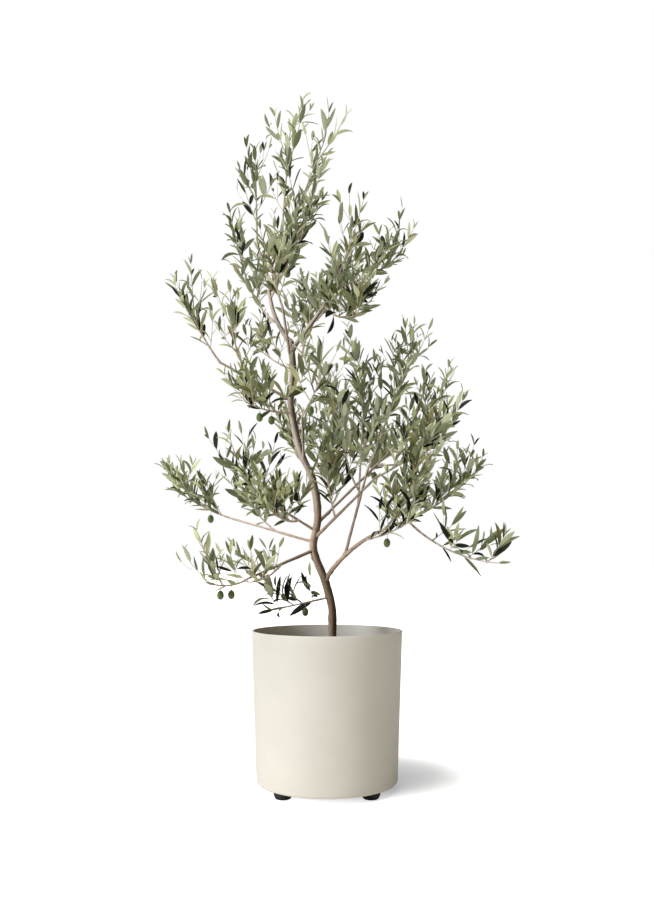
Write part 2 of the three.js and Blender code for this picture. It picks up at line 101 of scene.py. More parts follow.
# Each mass of foliage has one stem, which leaves its limb as a bough does. Shoots branch from it, each about
# reach long, and olives hang from some. Whips are long slender shoots. Fill goes from 0, sparse, to 2, dense.
# It sets how many finer shoots stand between the shoots, and how many leaves are kept.
#   name, on, at, heading, pitch, length, lift, shoots, reach, olives, whips, fill
MASSES = [
    ("top_spire", "leader_left_inner", 1, 20, 85, 245, 0, 5, 65, 0, 1, 0),
    ("top_right", "leader_left_inner", 0.5, -25, 65, 280, 0, 5, 65, 0, 2, 0),
    ("top_left", "leader_left_outer", 1, 100, 80, 170, 0, 5, 70, 0, 1, 0),
    ("left_column", "leader_left", 0.35, 130, 30, 280, 50, 6, 75, 0, 2, 0),
    ("core_high", "leader_left", 0.75, -40, 50, 185, 10, 5, 75, 1, 3, 1),
    ("wing_far", "bough_wing", 1, -160, 50, 130, 20, 5, 60, 0, 2, 0),
    ("wing_near", "bough_wing", 0.6, -110, 30, 140, 40, 5, 75, 0, 1, 0),
    ("olives_left", "trunk", 0.78, -125, -10, 160, 20, 5, 70, 2, 2, 1),
    ("left_inner", "bough_left_rise", 1, -120, 25, 120, 0, 5, 80, 0, 2, 0),
    ("left_near", "bough_left_rise", 0.35, -110, -10, 150, 30, 5, 75, 0, 1, 2),
    ("left_far", "bough_left_mid", 1, 170, 15, 165, 20, 5, 70, 1, 2, 1),
    ("left_rear", "bough_left_mid", 0.5, 120, 20, 190, 20, 5, 75, 0, 1, 1),
    ("left_lowest", "bough_left_low", 1, -145, -30, 100, 50, 5, 58, 2, 1, 0),
    ("low_droop", "trunk", 0.18, -150, -10, 140, 0, 4, 45, 1, 1, 0),
    ("right_high_near", "leader_right", 0.6, -40, 45, 185, 30, 5, 70, 0, 1, 0),
    ("right_high_far", "leader_right", 1, 30, 20, 175, 20, 5, 62, 0, 2, 1),
    ("right_high_low", "leader_right", 0.7, -50, -50, 130, 60, 4, 62, 0, 3, 2),
    ("core_right_high", "leader_right", 0.4, 60, 30, 205, 30, 5, 75, 0, 2, 1),
    ("right_shoulder", "bough_right_rise", 1, 35, 65, 310, 0, 6, 88, 0, 4, 0.5),
    ("right_upper", "bough_right_rear", 1, -15, 35, 170, 20, 6, 75, 0, 1, 0),
    ("right_core", "bough_right_mid", 0.75, -115, 25, 210, 70, 5, 75, 0, 2, 0),
    ("right_mid", "bough_right_mid", 1, -10, 25, 150, 20, 5, 75, 0, 3, 2),
    ("right_tip", "bough_right_low", 0.9, 25, 20, 205, 20, 5, 65, 0, 2, 1),
    ("right_near", "bough_right_low", 0.75, -65, 25, 155, 20, 5, 72, 0, 1, 2),
    ("right_under", "bough_right_low", 0.55, -50, 5, 150, 20, 4, 60, 1, 1, 1),
    ("right_droop", "bough_right_low", 1, -20, -45, 210, 40, 4, 42, 0, 0, 0.5),
    ("left_low_near", "bough_left_low", 0.5, -120, -35, 140, 40, 5, 65, 0, 1, 0),
    ("right_inner", "bough_right_rise", 0.6, 70, 80, 310, 0, 6, 75, 0, 4, 1),
    ("right_outer", "bough_right_rear", 0.8, -25, -10, 180, 60, 5, 70, 0, 3, 0),
    ("rear_low", "bough_rear_low", 1, 120, 35, 140, 20, 5, 78, 0, 1, 1),
    ("rear_mid", "bough_rear_low", 0.7, 60, 55, 220, 0, 5, 78, 0, 2, 1),
    ("rear_right", "bough_right_rear", 0.6, 65, 20, 175, 20, 5, 76, 1, 1, 2),
    ("rear_high", "bough_rear_high", 1, 70, 60, 150, 10, 5, 76, 0, 1, 2),
    ("rear_left", "bough_rear_high", 0.5, 140, 20, 145, 20, 5, 74, 0, 1, 0),
    ("front_mid", "bough_front_mid", 1, -70, 20, 130, 10, 5, 80, 1, 1, 0),
    ("front_high", "bough_front_high", 1, -105, 30, 90, 30, 5, 75, 0, 1, 1),
    ("front_right", "bough_right_mid", 0.35, -100, 30, 160, 20, 5, 75, 0, 1, 2),
]

SHADED = ("low_droop", "right_under")  # masses under the crown whose leaves are mostly painted near black, as painted shade
LARGE = ("right_droop", "low_droop")  # masses of large leaves
TURNING = (-114, -68, 496)  # the place of the one leaf that turns yellow

SPACED = 12  # straight steps that a course is made of
POINTS = {"trunk": 361, "bough": 97, "stem": 25, "whip": 17, "shoot": 9}  # points on each kind of line
CUTS = {"trunk": 24, "bough": 6, "stem": 4}  # parts that a spline cuts each of its stretches into
SEAT = 3  # how far before its limb's end a piece on that end starts
CLEAR = 2  # how far a leaf's middle stays from a limb's skin
STEM = {"foot": 2.6, "tip": 1.0, "bare": 0.3}  # radii, and the share below its first leaves
SHOOT = {
    "foot": 1.0,  # radii
    "tip": 0.5,
    "full": 80,  # length of a shoot that has these radii
    "girth": (0.6, 1.1),  # least and most of these radii on shorter and longer ones
    "first": 0.2,  # share of the stem below the first shoot
    "splay": (62, 38),  # degrees from the stem, at its foot and at its tip
    "reach": (1.1, 0.75),  # of the mass's reach, at the stem's foot and at its tip
    "spread": 0.2,  # by which a length is longer or shorter
    "rise": 0.45,  # how strongly a shoot is drawn up where it starts
    "hang": 0.3,  # of its downward lean, turned upward
    "sweep": 0.45,  # how strongly it goes on bending up
    "sway": 0.12,  # how strongly it bends to one side
    "further": 28,  # millimetres past the solid's shoot, which has longer leaves
    "bare": 0.18,  # share below its first leaves
    "finer": 0.7,  # finer shoots for each shoot, at a fill of 1
    "shorter": 0.8,  # their length, of a shoot's
}
WHIP = {
    "foot": 1.5,  # radii
    "tip": 0.5,
    "first": 0.3,  # share of the stem below the first whip
    "splay": 35,  # degrees from the stem
    "length": 110,
    "spread": 0.2,  # by which a length is longer or shorter
    "rise": 0.45,  # how strongly it is drawn up where it starts
    "sweep": 0.35,  # how strongly it goes on bending up
    "bare": 0.15,  # share below its first leaves
}
TWIG = {
    "at": 0.4,  # share of its shoot below a side twig
    "splay": 48,  # degrees from the shoot
    "length": 0.45,  # of the shoot's
    "spread": (0.75, 1.25),  # least and most of that length
    "rise": 0.3,  # how strongly it is drawn up where it starts
}
LEAF = {
    "angle": (48, 20),  # degrees from the shoot, at its foot and at its tip
    "stray": (0.75, 1.25),  # least and most of that angle
    "rise": 0.25,  # how strongly a leaf is drawn up
    "turn": 0.45,  # radians that its face strays about its way
    "shrink": 0.4,  # by which a leaf at a tip is shorter
    "large": 1.25,  # length of a large leaf, of a leaf's
    "spread": (0.72, 1.2),  # least and most of a leaf's length
    "width": 0.16,  # of its length, at a tip
    "wider": 0.1,  # by which that is wider, at most
    "foot": 0.03,  # by which it is wider at the shoot's foot
    "bend": (-1.0, 0.15),  # radians from root to tip
    "twist": 0.3,  # radians from root to tip
    "kept": 0.94,  # share of the leaves that are kept, where the mass isn't sparse
    "sparse": (0.6, 0.6),  # of that share, at a fill of 0, and more of it for each 1 of fill
}
OLIVE = {
    "radius": 7,
    "length": 9.5,  # from its middle to its tip
    "stalk": 12,
    "stalk_radius": 0.6,
    "sink": 2,  # how far the stalk goes into it
    "first": 0.45,  # share of the stem below the first one
    "next": 0.25,  # share of the stem from one to the next
    "taper": 0.06,  # by which it is narrower above and wider below
    "rows": 15,
    "columns": 20,
}
BARK = {
    "trunk_sides": 64,
    "bough_sides": 24,
    "shallower": 0.5,  # depth of a bough's relief, of the trunk's
    "noises": (  # size across, across and along the limb, and what is added to the seed
        ((2.6, 2.6, 15), 0),  # coarse cracks
        ((1.3, 1.3, 6), 50),  # fine cracks
        ((5, 5, 13), 70),  # knots
        ((7, 7, 16), 90),  # lumps
    ),
    "bleached": (-0.9, -0.3, 0.2),  # the way that the lit side faces, towards the key light, where the bark is painted lighter as painted light
    "shade": 1.8,  # how fast the trunk's painted shade darkens the bark away from it
}
GOLDEN = math.pi * (3 - math.sqrt(5))  # the turn from one shoot to the next
UP = np.array([0.0, 0.0, 1.0])

# Seeds of the random draws. Those of whips and sways go up by one with each mass.
SEEDS = {
    "clods": 5,
    "shoot_leaves": 11,
    "stem_leaves": 12,
    "kept": 13,
    "whip_leaves": 14,
    "tones": 21,
    "whips": 500,
    "sways": 1000,
}

# Materials of the leaves, by their place in the operator's list. The oftener one stands here, the more sprays
# have it.
# Tone 4 is near black, painted shade that stands in for the deep shade inside the crown.
UPPER = [0, 0, 0, 1, 1, 2, 3, 3, 3, 4, 4, 4, 4]
# The first of these, tone 4, is the near-black tone of painted shade.
SHADOWED, YOUNG, TURNED, UNDER = 4, 5, 6, 7
UNDERSIDES = [0, 0, 1, 2, 2]  # counted from UNDER
SHARES = {
    "stray": 0.4,  # of leaves that don't have their spray's tone
    "tip": 0.97,  # of a shoot's length, below its last pair
    "young": 0.5,  # of the leaves at tips
    "in_shade": 0.7,  # of the leaves in shaded masses that get the painted shade tone
}

# ---- sizes in metres ----

POT_LOW, POT_HIGH = (np.array(corner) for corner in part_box("pot"))
SOIL_LOW, SOIL_HIGH = (np.array(corner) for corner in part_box("soil"))
POT = {
    "bottom_radius": 0.155,
    "wall": 0.004,  # its thickness
    "floor": 0.006,  # its thickness
    "edge": 0.006,  # radius of the bottom edge
    "lip": 0.0012,  # radius of the rim's two edges
    "centre": 0.02,  # radius of the cap that closes the bottom
    "flat": 0.09,  # radius of the ring outside it
    "bands": 8,  # points up a wall
    "first": 0.03,  # from the bottom up to the first of them, outside
    "last": 0.02,  # from the rim down to the last
    "inner": 0.01,  # from the floor up to the first, inside
    "slope": 0.004,  # by which the floor is narrower than the wall
}
FOOT = {
    "centre": 0.004,  # radius of the caps that close it
    "tread": 0.008,  # by which the flat tread is narrower than the foot
    "edge": 0.006,  # radius of the lower edge
    "shoulder": 0.004,  # radius of the upper edge
    "sides": 48,
}
FEET = [f"foot_{number}" for number in range(1, 5)]
MIX = {
    "columns": 256,
    "rows": 76,
    "centre": 0.004,  # radius of the cap that closes the top
    "flat": 0.01,  # radius of the cap that closes the bottom
    "gap": 0.002,  # from the bottom's rim to the planter's wall
    "shaft": 0.024,  # radius of the level part round the trunk
    "fall": 0.007,  # how far it sinks from there to the wall
    "shore": 0.006,  # width along the wall where the crumbs die out
    "crumbs": ((140, 0.0022, 3), (330, 0.0014, 4), (700, 0.0008, 5)),  # lumps to the metre, height and seed
    "sink": 0.001,  # how far the crumbs and clods are lowered
    "clods": 420,
    "clod": (0.0015, 0.0045),  # least and most radius
    "bare": 0.012,  # share of the surface, round the trunk, that has no clods
}

# ---- the stage ----

# The floor's glow is weak up to the deep radius about the shadow's middle, and strong beyond the clear one.
SHADOW = {"middle": (0.10, 0.12, 0), "deep": 0.13, "clear": 0.28}
GLOW = {"deep": np.array([0.97, 1, 1.05]) * 0.85, "clear": np.array([1, 1, 1]) * 2}
FLOOR = {"radius": 40, "sides": 96}
KEY = {"azimuth": -57, "sharp": 0.75, "colour": (0.94, 1.0, 1.15)}  # degrees, and the sharper part's share
TOP = {"tilt": 20, "azimuth": -54, "width": 45, "colour": (0.98, 1.0, 1.03)}  # degrees
FILL_COLOUR = (1, 0.95, 0.86, 1)
CAMERA = {"lens": 34.54, "shift": 0.1222, "place": (0, -1.9, 0.5), "reach": 200}


# ---- small tools on arrays ----


def unit(vectors):
    """Vectors scaled to length one."""
    return vectors / np.maximum(np.linalg.norm(vectors, axis=-1, keepdims=True), 1e-12)


def blend(low, high, share):
    """The value a share of the way from low to high."""
    return low + (high - low) * share


def bearing(heading, pitch):
    """Unit vectors of headings and pitches in degrees: (cos p cos h, cos p sin h, sin p)."""
    h, p = np.radians(heading), np.radians(pitch)
    return np.stack([np.cos(p) * np.cos(h), np.cos(p) * np.sin(h), np.sin(p)], -1)


def upward(ways):
    """The part of +Z that is square to unit ways: u - w (w.u)."""
    return UP - ways * ways[:, 2:]


def round_turn(count):
    """Angles of equal steps round a circle: 2 pi k / count."""
    return np.arange(count) * 2 * math.pi / count


def across(ways):
    """Level unit vectors square to the ways: (-y, x, 0), or +X where a way is upright."""
    level = np.stack([-ways[..., 1], ways[..., 0], np.zeros(ways.shape[:-1])], -1)
    upright = np.linalg.norm(level, axis=-1, keepdims=True) < 0.05
    return np.where(upright, np.array([1.0, 0.0, 0.0]), unit(level))


def spin(vectors, axes, angles):
    """Vectors turned about unit axes: v cos a + (k x v) sin a + k (k.v)(1 - cos a)."""
    c, s = np.cos(angles)[..., None], np.sin(angles)[..., None]
    along = axes * (vectors * axes).sum(-1, keepdims=True)
    return vectors * c + np.cross(axes, vectors) * s + along * (1 - c)


def noise(points, seed=0):
    """Smooth noise from -1 to 1: a hashed value at each corner of unit cells, blended by 3t^2 - 2t^3."""
    cell = np.floor(points).astype(np.int64)
    t = points - cell
    t = t * t * (3 - 2 * t)
    total = np.zeros(points.shape[:-1])
    for corner in np.ndindex(2, 2, 2):
        c = cell + corner
        mixed = (c[..., 0] * 73856093) ^ (c[..., 1] * 19349663) ^ (c[..., 2] * 83492791) ^ (seed * 2654435761)
        mixed = ((mixed ^ (mixed >> 13)) * 1274126177) & 0x7FFFFFFF
        mixed = ((mixed ^ (mixed >> 15)) * 69069) & 0x7FFFFFFF
        weight = np.where(corner, t, 1 - t).prod(-1)
        total += weight * (mixed / 0x3FFFFFFF - 1)
    return total


def dice(seed, count):
    """The solids' repeatable numbers from 0 to 1, by 32-bit multiply and shift."""
    mask, state, rolls = 0xFFFFFFFF, seed, []
    for _ in range(count):
        state = (state + 0x6D2B79F5) & mask
        t = ((state ^ (state >> 15)) * (state | 1)) & mask
        t ^= (t + (t ^ (t >> 7)) * (t | 61)) & mask
        rolls.append((t ^ (t >> 14)) / 2**32)
    return np.array(rolls)


def spline(corners, steps):
    """A centripetal Catmull-Rom line: a cubic from corner to corner, with knots sqrt(chord) apart."""
    p = np.concatenate([2 * corners[:1] - corners[1:2], corners, 2 * corners[-1:] - corners[-2:-1]])
    p0, p1, p2, p3 = p[:-3], p[1:-2], p[2:-1], p[3:]
    d0, d1, d2 = (np.sqrt(np.linalg.norm(b - a, axis=1))[:, None] for a, b in ((p0, p1), (p1, p2), (p2, p3)))
    m1 = ((p1 - p0) / d0 - (p2 - p0) / (d0 + d1) + (p2 - p1) / d1) * d1
    m2 = ((p2 - p1) / d1 - (p3 - p1) / (d1 + d2) + (p3 - p2) / d2) * d1
    t = (np.arange(steps) / steps)[:, None, None]
    line = (2 * t**3 - 3 * t**2 + 1) * p1 + (t**3 - 2 * t**2 + t) * m1
    line = line + (3 * t**2 - 2 * t**3) * p2 + (t**3 - t**2) * m2
    return np.concatenate([line.transpose(1, 0, 2).reshape(-1, 3), corners[-1:]])


def spaced(line, count):
    """The same line as count points at equal steps along its length."""
    run = np.concatenate([[0], np.cumsum(np.linalg.norm(np.diff(line, axis=0), axis=1))])
    at = np.linspace(0, run[-1], count)
    return np.stack([np.interp(at, run, line[:, axis]) for axis in range(3)], -1)


def sample(lines, shares):
    """Points and unit ways on lines (n, points, 3) of equal steps, at shares (n, k) of their lengths."""
    place = shares * (lines.shape[1] - 1)
    index = np.clip(np.floor(place).astype(int), 0, lines.shape[1] - 2)
    ways = np.gradient(lines, axis=1)
    rows = np.arange(len(lines))[:, None]
    part = (place - index)[..., None]
    points = blend(lines[rows, index], lines[rows, index + 1], part)
    return points, unit(blend(ways[rows, index], ways[rows, index + 1], part))


def lengths_of(lines):
    """The length of each line."""
    return np.linalg.norm(np.diff(lines, axis=1), axis=2).sum(1)


def course(start, heading, pitch, length, lift):
    """A line that turns evenly upward: the running sum of equal steps at a heading and at pitch + lift s."""
    share = (np.arange(SPACED) + 0.5) / SPACED
    steps = bearing(heading, pitch + lift * share) * length / SPACED
    return start + np.concatenate([np.zeros((1, 3)), np.cumsum(steps, 0)])


# ---- the tree's lines ----


@cache
def limbs():
    """The trunk and the boughs by name: a line of equal steps and the radius at each."""
    found = {}

    def add(name, line, radii):
        found[name] = {"line": line, "radii": radii}

    bends = np.array(TRUNK_BENDS, float) + UP * SOIL_HIGH[2] / MM
    line = spaced(spline(bends, CUTS["trunk"]), POINTS["trunk"])
    share = np.linspace(0, 1, len(line))
    flare = np.maximum(0, 1 - share / TRUNK["flare_share"]) ** 2
    add("trunk", line, blend(TRUNK["foot"], TRUNK["tip"], share) + TRUNK["flare"] * flare)
    for name, on, at, heading, pitch, length, lift, foot, tip in BOUGHS:
        line = course(start_of(found, on, at), heading, pitch, length, lift)
        line = spaced(spline(line, CUTS["bough"]), POINTS["bough"])
        add(name, line, blend(foot, tip, np.linspace(0, 1, len(line))))
    return found


def start_of(found, on, at):
    """Where a piece starts: on its limb's axis, or a little before its end."""
    point, way = sample(found[on]["line"][None], np.array([[float(at)]]))
    return point[0, 0] - way[0, 0] * (SEAT if at == 1 else 0)


@cache
def stems():
    """The stem of each mass as a line, (masses, points, 3)."""
    lines = []
    for _, on, at, heading, pitch, length, lift, *_ in MASSES:
        line = course(start_of(limbs(), on, at), heading, pitch, length, lift)
        lines.append(spaced(spline(line, CUTS["stem"]), POINTS["stem"]))
    return np.array(lines)


@cache
def whips():
    """The whips as lines (whips, points, 3), which leave the stems on turning sides and are drawn up."""
    lines = []
    for index, (*_, count, _) in enumerate(MASSES):
        k = np.arange(count)
        rolls = np.random.default_rng(SEEDS["whips"] + index).random((count, 2))
        share = WHIP["first"] + (1 - WHIP["first"]) * (k + 0.5) / max(count, 1)
        feet, tangents = (found[0] for found in sample(stems()[index][None], share[None]))
        out = spin(across(tangents), tangents, GOLDEN * k + 2 * math.pi * rolls[:, 0])
        splay = math.radians(WHIP["splay"])
        ways = unit(tangents * math.cos(splay) + out * math.sin(splay) + UP * WHIP["rise"])
        lengths = WHIP["length"] * (1 + WHIP["spread"] * (2 * rolls[:, 1] - 1))
        lines.append(curved(feet, ways, lengths, WHIP["sweep"] * upward(ways), POINTS["whip"]))
    return np.concatenate(lines)


def rank_of_shoots(index, finer):
    """Feet, ways and lengths of a mass's shoots, by the solids' rule, or of the finer ones between them."""
    *_, number, reach, _, _, fill = MASSES[index]
    if finer:
        count = round(number * fill * SHOOT["finer"])
        k = (np.arange(count) + 0.5) * number / max(count, 1) - 0.5
        rolls = np.random.default_rng(index).random((count, 2))
        turn = GOLDEN * k + math.pi + 2 * rolls[:, 0] - 1
    else:
        k = np.arange(number)
        rolls = dice(index + 1, 2 * number).reshape(-1, 2)
        turn = GOLDEN * k + rolls[:, 0]
    share = SHOOT["first"] + (1 - SHOOT["first"]) * (k + 0.5) / number
    feet, tangents = (found[0] for found in sample(stems()[index][None], np.clip(share, 0, 1)[None]))
    out = spin(across(tangents), tangents, turn)
    out[:, 2] = np.maximum(out[:, 2], -SHOOT["hang"] * out[:, 2])
    splay = np.radians(blend(*SHOOT["splay"], share))[:, None]
    ways = unit(tangents * np.cos(splay) + out * np.sin(splay) + UP * SHOOT["rise"])
    lengths = reach * blend(*SHOOT["reach"], share) * (1 + SHOOT["spread"] * (2 * rolls[:, 1] - 1))
    shorter = SHOOT["shorter"] if finer else 1
    return feet, ways, lengths * shorter + SHOOT["further"]


def curved(feet, ways, lengths, sweeps, points=POINTS["shoot"]):
    """Lines that start along their ways and bend by their sweeps: foot + length (s way + s^2 sweep / 2)."""
    s = np.linspace(0, 1, points)[None, :, None]
    return feet[:, None] + lengths[:, None, None] * (s * ways[:, None] + s**2 / 2 * sweeps[:, None])


@cache
def shoots():
    """Every shoot and side twig as lines (n, points, 3), and the mass that each is in."""
    lines, owners = [], []
    for index in range(len(MASSES)):
        rng = np.random.default_rng(SEEDS["sways"] + index)
        for finer in (False, True):
            feet, ways, lengths = rank_of_shoots(index, finer)
            sway = across(ways) * rng.normal(0, SHOOT["sway"], (len(ways), 1))
            main = curved(feet, ways, lengths, SHOOT["sweep"] * upward(ways) + sway)
            lines.append(main)
            if not finer:
                lines.append(side_twigs(main, lengths, rng))
        owners.append(np.full(sum(map(len, lines)) - sum(map(len, owners)), index))
    return np.concatenate(lines), np.concatenate(owners)


def side_twigs(lines, lengths, rng):
    """One twig to each line, which leaves it on any side, splayed from it and drawn up."""
    shares = np.full((len(lines), 1), TWIG["at"])
    feet, tangents = sample(lines, shares)
    turn = rng.uniform(0, 2 * math.pi, shares.shape)
    out = spin(across(tangents), tangents, turn)
    splay = math.radians(TWIG["splay"])
    ways = unit(tangents * math.cos(splay) + out * math.sin(splay) + TWIG["rise"] * UP)
    size = lengths[:, None] * TWIG["length"] * rng.uniform(*TWIG["spread"], shares.shape)
    ways = ways.reshape(-1, 3)
    return curved(feet.reshape(-1, 3), ways, size.ravel(), SHOOT["sweep"] * upward(ways))


@cache
def olive_feet():
    """Where the olives' stalks leave the stems, by the solids' rule."""
    feet = []
    for index, (*_, olives, _, _) in enumerate(MASSES):
        share = OLIVE["first"] + OLIVE["next"] * np.arange(olives)
        feet.append(sample(stems()[index][None], share[None])[0][0])
    return np.concatenate(feet)


# ---- leaves ----


def leaves_along(lines, owners, bare, gap, length, seed):
    """Opposite pairs of leaves along lines, each a quarter turn on from the last, and a pair at each tip.

    A leaf stands off its shoot by an angle that closes towards the tip: way = t cos a + o sin a. Its upper
    side looks up the shoot: face = t sin a - o cos a, turned a little about the way.
    """
    rng = np.random.default_rng(seed)
    pairs = np.maximum(1, np.round(lengths_of(lines) * (1 - bare) / gap)).astype(int)
    rank = np.arange(pairs.max() + 1)
    share = np.minimum(bare + (1 - bare) * rank / pairs[:, None], 1)
    here = (rank <= pairs[:, None])[..., None].repeat(2, 2)
    roots, tangents = sample(lines, share)
    phase = rng.uniform(0, math.pi, (len(lines), 1)) + rank * math.pi / 2
    side = spin(across(tangents), tangents, phase)
    shape = share.shape + (2,)
    angle = np.radians(blend(*LEAF["angle"], share))[..., None] * rng.uniform(*LEAF["stray"], shape)
    out = side[:, :, None] * np.array([1, -1])[:, None]
    c, s = np.cos(angle)[..., None], np.sin(angle)[..., None]
    t = tangents[:, :, None]
    way = unit(t * c + out * s + LEAF["rise"] * UP)
    face = spin(unit(t * s - out * c), way, rng.normal(0, LEAF["turn"], shape))
    grown = 1 - LEAF["shrink"] * share[..., None] ** 4
    large = np.array([LEAF["large"] if row[0] in LARGE else 1 for row in MASSES] + [1])[owners][:, None, None]
    size = length * grown * large * rng.uniform(*LEAF["spread"], shape)
    foot = LEAF["foot"] * (1 - share[..., None])
    leaf = {
        "root": np.broadcast_to(roots[:, :, None], shape + (3,)),
        "way": way,
        "face": face,
        "length": size,
        "width": size * (LEAF["width"] + LEAF["wider"] * rng.random(shape) + foot),
        "bend": rng.uniform(*LEAF["bend"], shape),
        "twist": rng.normal(0, LEAF["twist"], shape),
        "share": np.broadcast_to(share[..., None], shape),
        "owner": np.broadcast_to(owners[:, None, None], shape),
        "line": np.broadcast_to(np.arange(len(lines))[:, None, None], shape),
    }
    return {key: value[here] for key, value in leaf.items()}


def clear_of_limbs(leaf):
    """True for a leaf whose middle stands clear of the skin of every limb."""
    middle = leaf["root"] + leaf["way"] * leaf["length"][:, None] * 0.5
    clear = np.ones(len(middle), bool)
    for limb in limbs().values():
        line, radii = limb["line"][::4], limb["radii"][::4]
        apart = np.linalg.norm(middle[:, None] - line, axis=2) - radii
        clear &= apart.min(1) > CLEAR
    return clear


LEAF_STATIONS = np.array([0.0, 0.06, 0.2, 0.38, 0.56, 0.74, 0.9, 1.0])  # shares of the leaf's length
LEAF_OUTLINE = np.array([0.0, 0.12, 0.7, 0.97, 1.0, 0.8, 0.38, 0.0])  # width at each station, of the widest
LEAF_FOLD = 0.28  # rise of the margins over the midrib, of the half width
LEAF_BACK = 0.0006  # thickness at the midrib, in metres


def leaf_points(leaf):
    """Points of narrow folded leaves, (leaves, 26, 3): a root, rings of left, rib, right and back, and a tip.

    The rib bends in the plane of way and face: x = t - b^2 t^3 / 6, z = b t^2 / 2. The blade twists about it.
    """
    t = LEAF_STATIONS[None, :, None]
    length = leaf["length"][:, None, None] * MM
    bend = leaf["bend"][:, None, None]
    way, face = leaf["way"][:, None], leaf["face"][:, None]
    rib = leaf["root"][:, None] * MM + length * ((t - bend**2 * t**3 / 6) * way + bend * t**2 / 2 * face)
    ahead = np.cos(bend * t) * way + np.sin(bend * t) * face
    above = np.cos(bend * t) * face - np.sin(bend * t) * way
    angle = leaf["twist"][:, None, None] * t
    left = np.cross(above, ahead)
    side = left * np.cos(angle) + above * np.sin(angle)
    normal = above * np.cos(angle) - left * np.sin(angle)
    half = leaf["width"][:, None, None] * MM / 2 * LEAF_OUTLINE[None, :, None]
    margin = LEAF_FOLD * half * normal
    back = rib - normal * LEAF_BACK * np.minimum(1, LEAF_OUTLINE[None, :, None] * 3)
    rings = np.stack([rib + half * side + margin, rib, rib - half * side + margin, back], 2)[:, 1:-1]
    return np.concatenate([rib[:, :1], rings.reshape(len(rings), -1, 3), rib[:, -1:]], 1)


def leaf_faces(count):
    """Triangles of count leaves, and for each whether it is on the upper side.

    Upper and lower side are cut along the same diagonals, so a twisted blade stays closed.
    """
    left, rib, right, back = range(1, 5)
    rings = len(LEAF_STATIONS) - 2
    last, tip = 4 * (rings - 1), 4 * rings + 1
    faces, upper = [], []
    for a, b, side in [(rib, left, 1), (right, rib, 1), (left, back, 0), (back, right, 0)]:
        strip = [[0, a, b], [a + last, tip, b + last]]
        for ring in range(0, last, 4):
            one, two, three, four = a + ring, a + ring + 4, b + ring + 4, b + ring
            if a in (rib, back):
                strip += [[one, two, three], [one, three, four]]
            else:
                strip += [[one, two, four], [two, three, four]]
        faces += strip
        upper += [side] * len(strip)
    offset = np.arange(count)[:, None, None] * (tip + 1)
    return (np.array(faces) + offset).reshape(-1, 3), np.array(upper, bool)


@cache
def leaves(length, gap):
    """Every leaf of the crown, as arrays of its root, way, face and sizes."""
    lines, owners = shoots()
    on_shoots = leaves_along(lines, owners, SHOOT["bare"], gap, length, SEEDS["shoot_leaves"])
    owners = np.arange(len(MASSES))
    on_stems = leaves_along(stems(), owners, STEM["bare"], gap, length, SEEDS["stem_leaves"])
    owners = np.full(len(whips()), len(MASSES))
    on_whips = leaves_along(whips(), owners, WHIP["bare"], gap, length, SEEDS["whip_leaves"])
    on_stems["line"] = on_stems["line"] + len(lines)
    on_whips["line"] = on_whips["line"] + len(lines) + len(MASSES)
    every = {key: np.concatenate([on_shoots[key], on_stems[key], on_whips[key]]) for key in on_shoots}
    fills = np.array([row[-1] for row in MASSES] + [1])
    sparse, more = LEAF["sparse"]
    kept = LEAF["kept"] * np.minimum(1, sparse + more * fills[every["owner"]])
    keep = clear_of_limbs(every) & (np.random.default_rng(SEEDS["kept"]).random(len(kept)) < kept)
    return {key: value[keep] for key, value in every.items()}


# ---- meshes ----


def shells(rings):
    """Closed shells from rings (shells, rows, columns, 3): quads between rows, and a fan over each end."""
    count, rows, columns, _ = rings.shape
    points = np.concatenate([rings.reshape(count, -1, 3), rings[:, [0, -1]].mean(2)], 1)
    r, c = np.meshgrid(np.arange(rows - 1), np.arange(columns), indexing="ij")
    on = (c + 1) % columns
    quads = np.stack([r * columns + c, r * columns + on, (r + 1) * columns + on, (r + 1) * columns + c], -1)
    c, on = c[0], on[0]
    first, last = rows * columns, (rows - 1) * columns
    start = np.stack([on, c, c * 0 + first], -1)
    end = np.stack([last + c, last + on, c * 0 + first + 1], -1)
    offset = np.arange(count)[:, None, None] * points.shape[1]
    quads, fans = quads.reshape(-1, 4) + offset, np.concatenate([start, end]) + offset
    return points.reshape(-1, 3), quads.reshape(-1, 4), fans.reshape(-1, 3)


def tubes(lines, radii, sides):
    """Round bars: each point of a line becomes a ring, line + radius (cos a n + sin a b)."""
    lines = lines * MM
    ways = unit(np.gradient(lines, axis=1))
    least = np.argmin(np.abs(lines[:, -1] - lines[:, 0]), -1)
    normal = unit(np.eye(3)[least][:, None] - ways * np.take_along_axis(ways, least[:, None, None], 2))
    turn = round_turn(sides)
    binormal = np.cross(ways, normal)
    ring = np.cos(turn)[:, None] * normal[:, :, None] + np.sin(turn)[:, None] * binormal[:, :, None]
    radii = np.asarray(radii) * MM
    radii = radii[..., None] if radii.ndim == 2 else radii
    return shells(lines[:, :, None] + radii[..., None] * ring)


def turned(profile, columns):
    """A profile of (radius, height) turned about Z, closed on the axis at both ends."""
    turn = round_turn(columns)
    r, z = profile[:, :1], np.broadcast_to(profile[:, 1:], (len(profile), columns))
    return np.stack([r * np.cos(turn), r * np.sin(turn), z], -1)[None]


def arc(x, y, radius, start, end, steps):
    """Points of an arc of a profile, from one angle to another in degrees."""
    angle = np.radians(np.linspace(start, end, steps + 1))
    return np.stack([x + radius * np.cos(angle), y + radius * np.sin(angle)], -1)


def joined(parts):
    """Several (points, quads, fans) as one."""
    offsets = np.cumsum([0] + [len(points) for points, _, _ in parts[:-1]])
    points = np.concatenate([points for points, _, _ in parts])
    quads = np.concatenate([quads + offset for (_, quads, _), offset in zip(parts, offsets)])
    fans = np.concatenate([fans + offset for (_, _, fans), offset in zip(parts, offsets)])
    return points, quads, fans


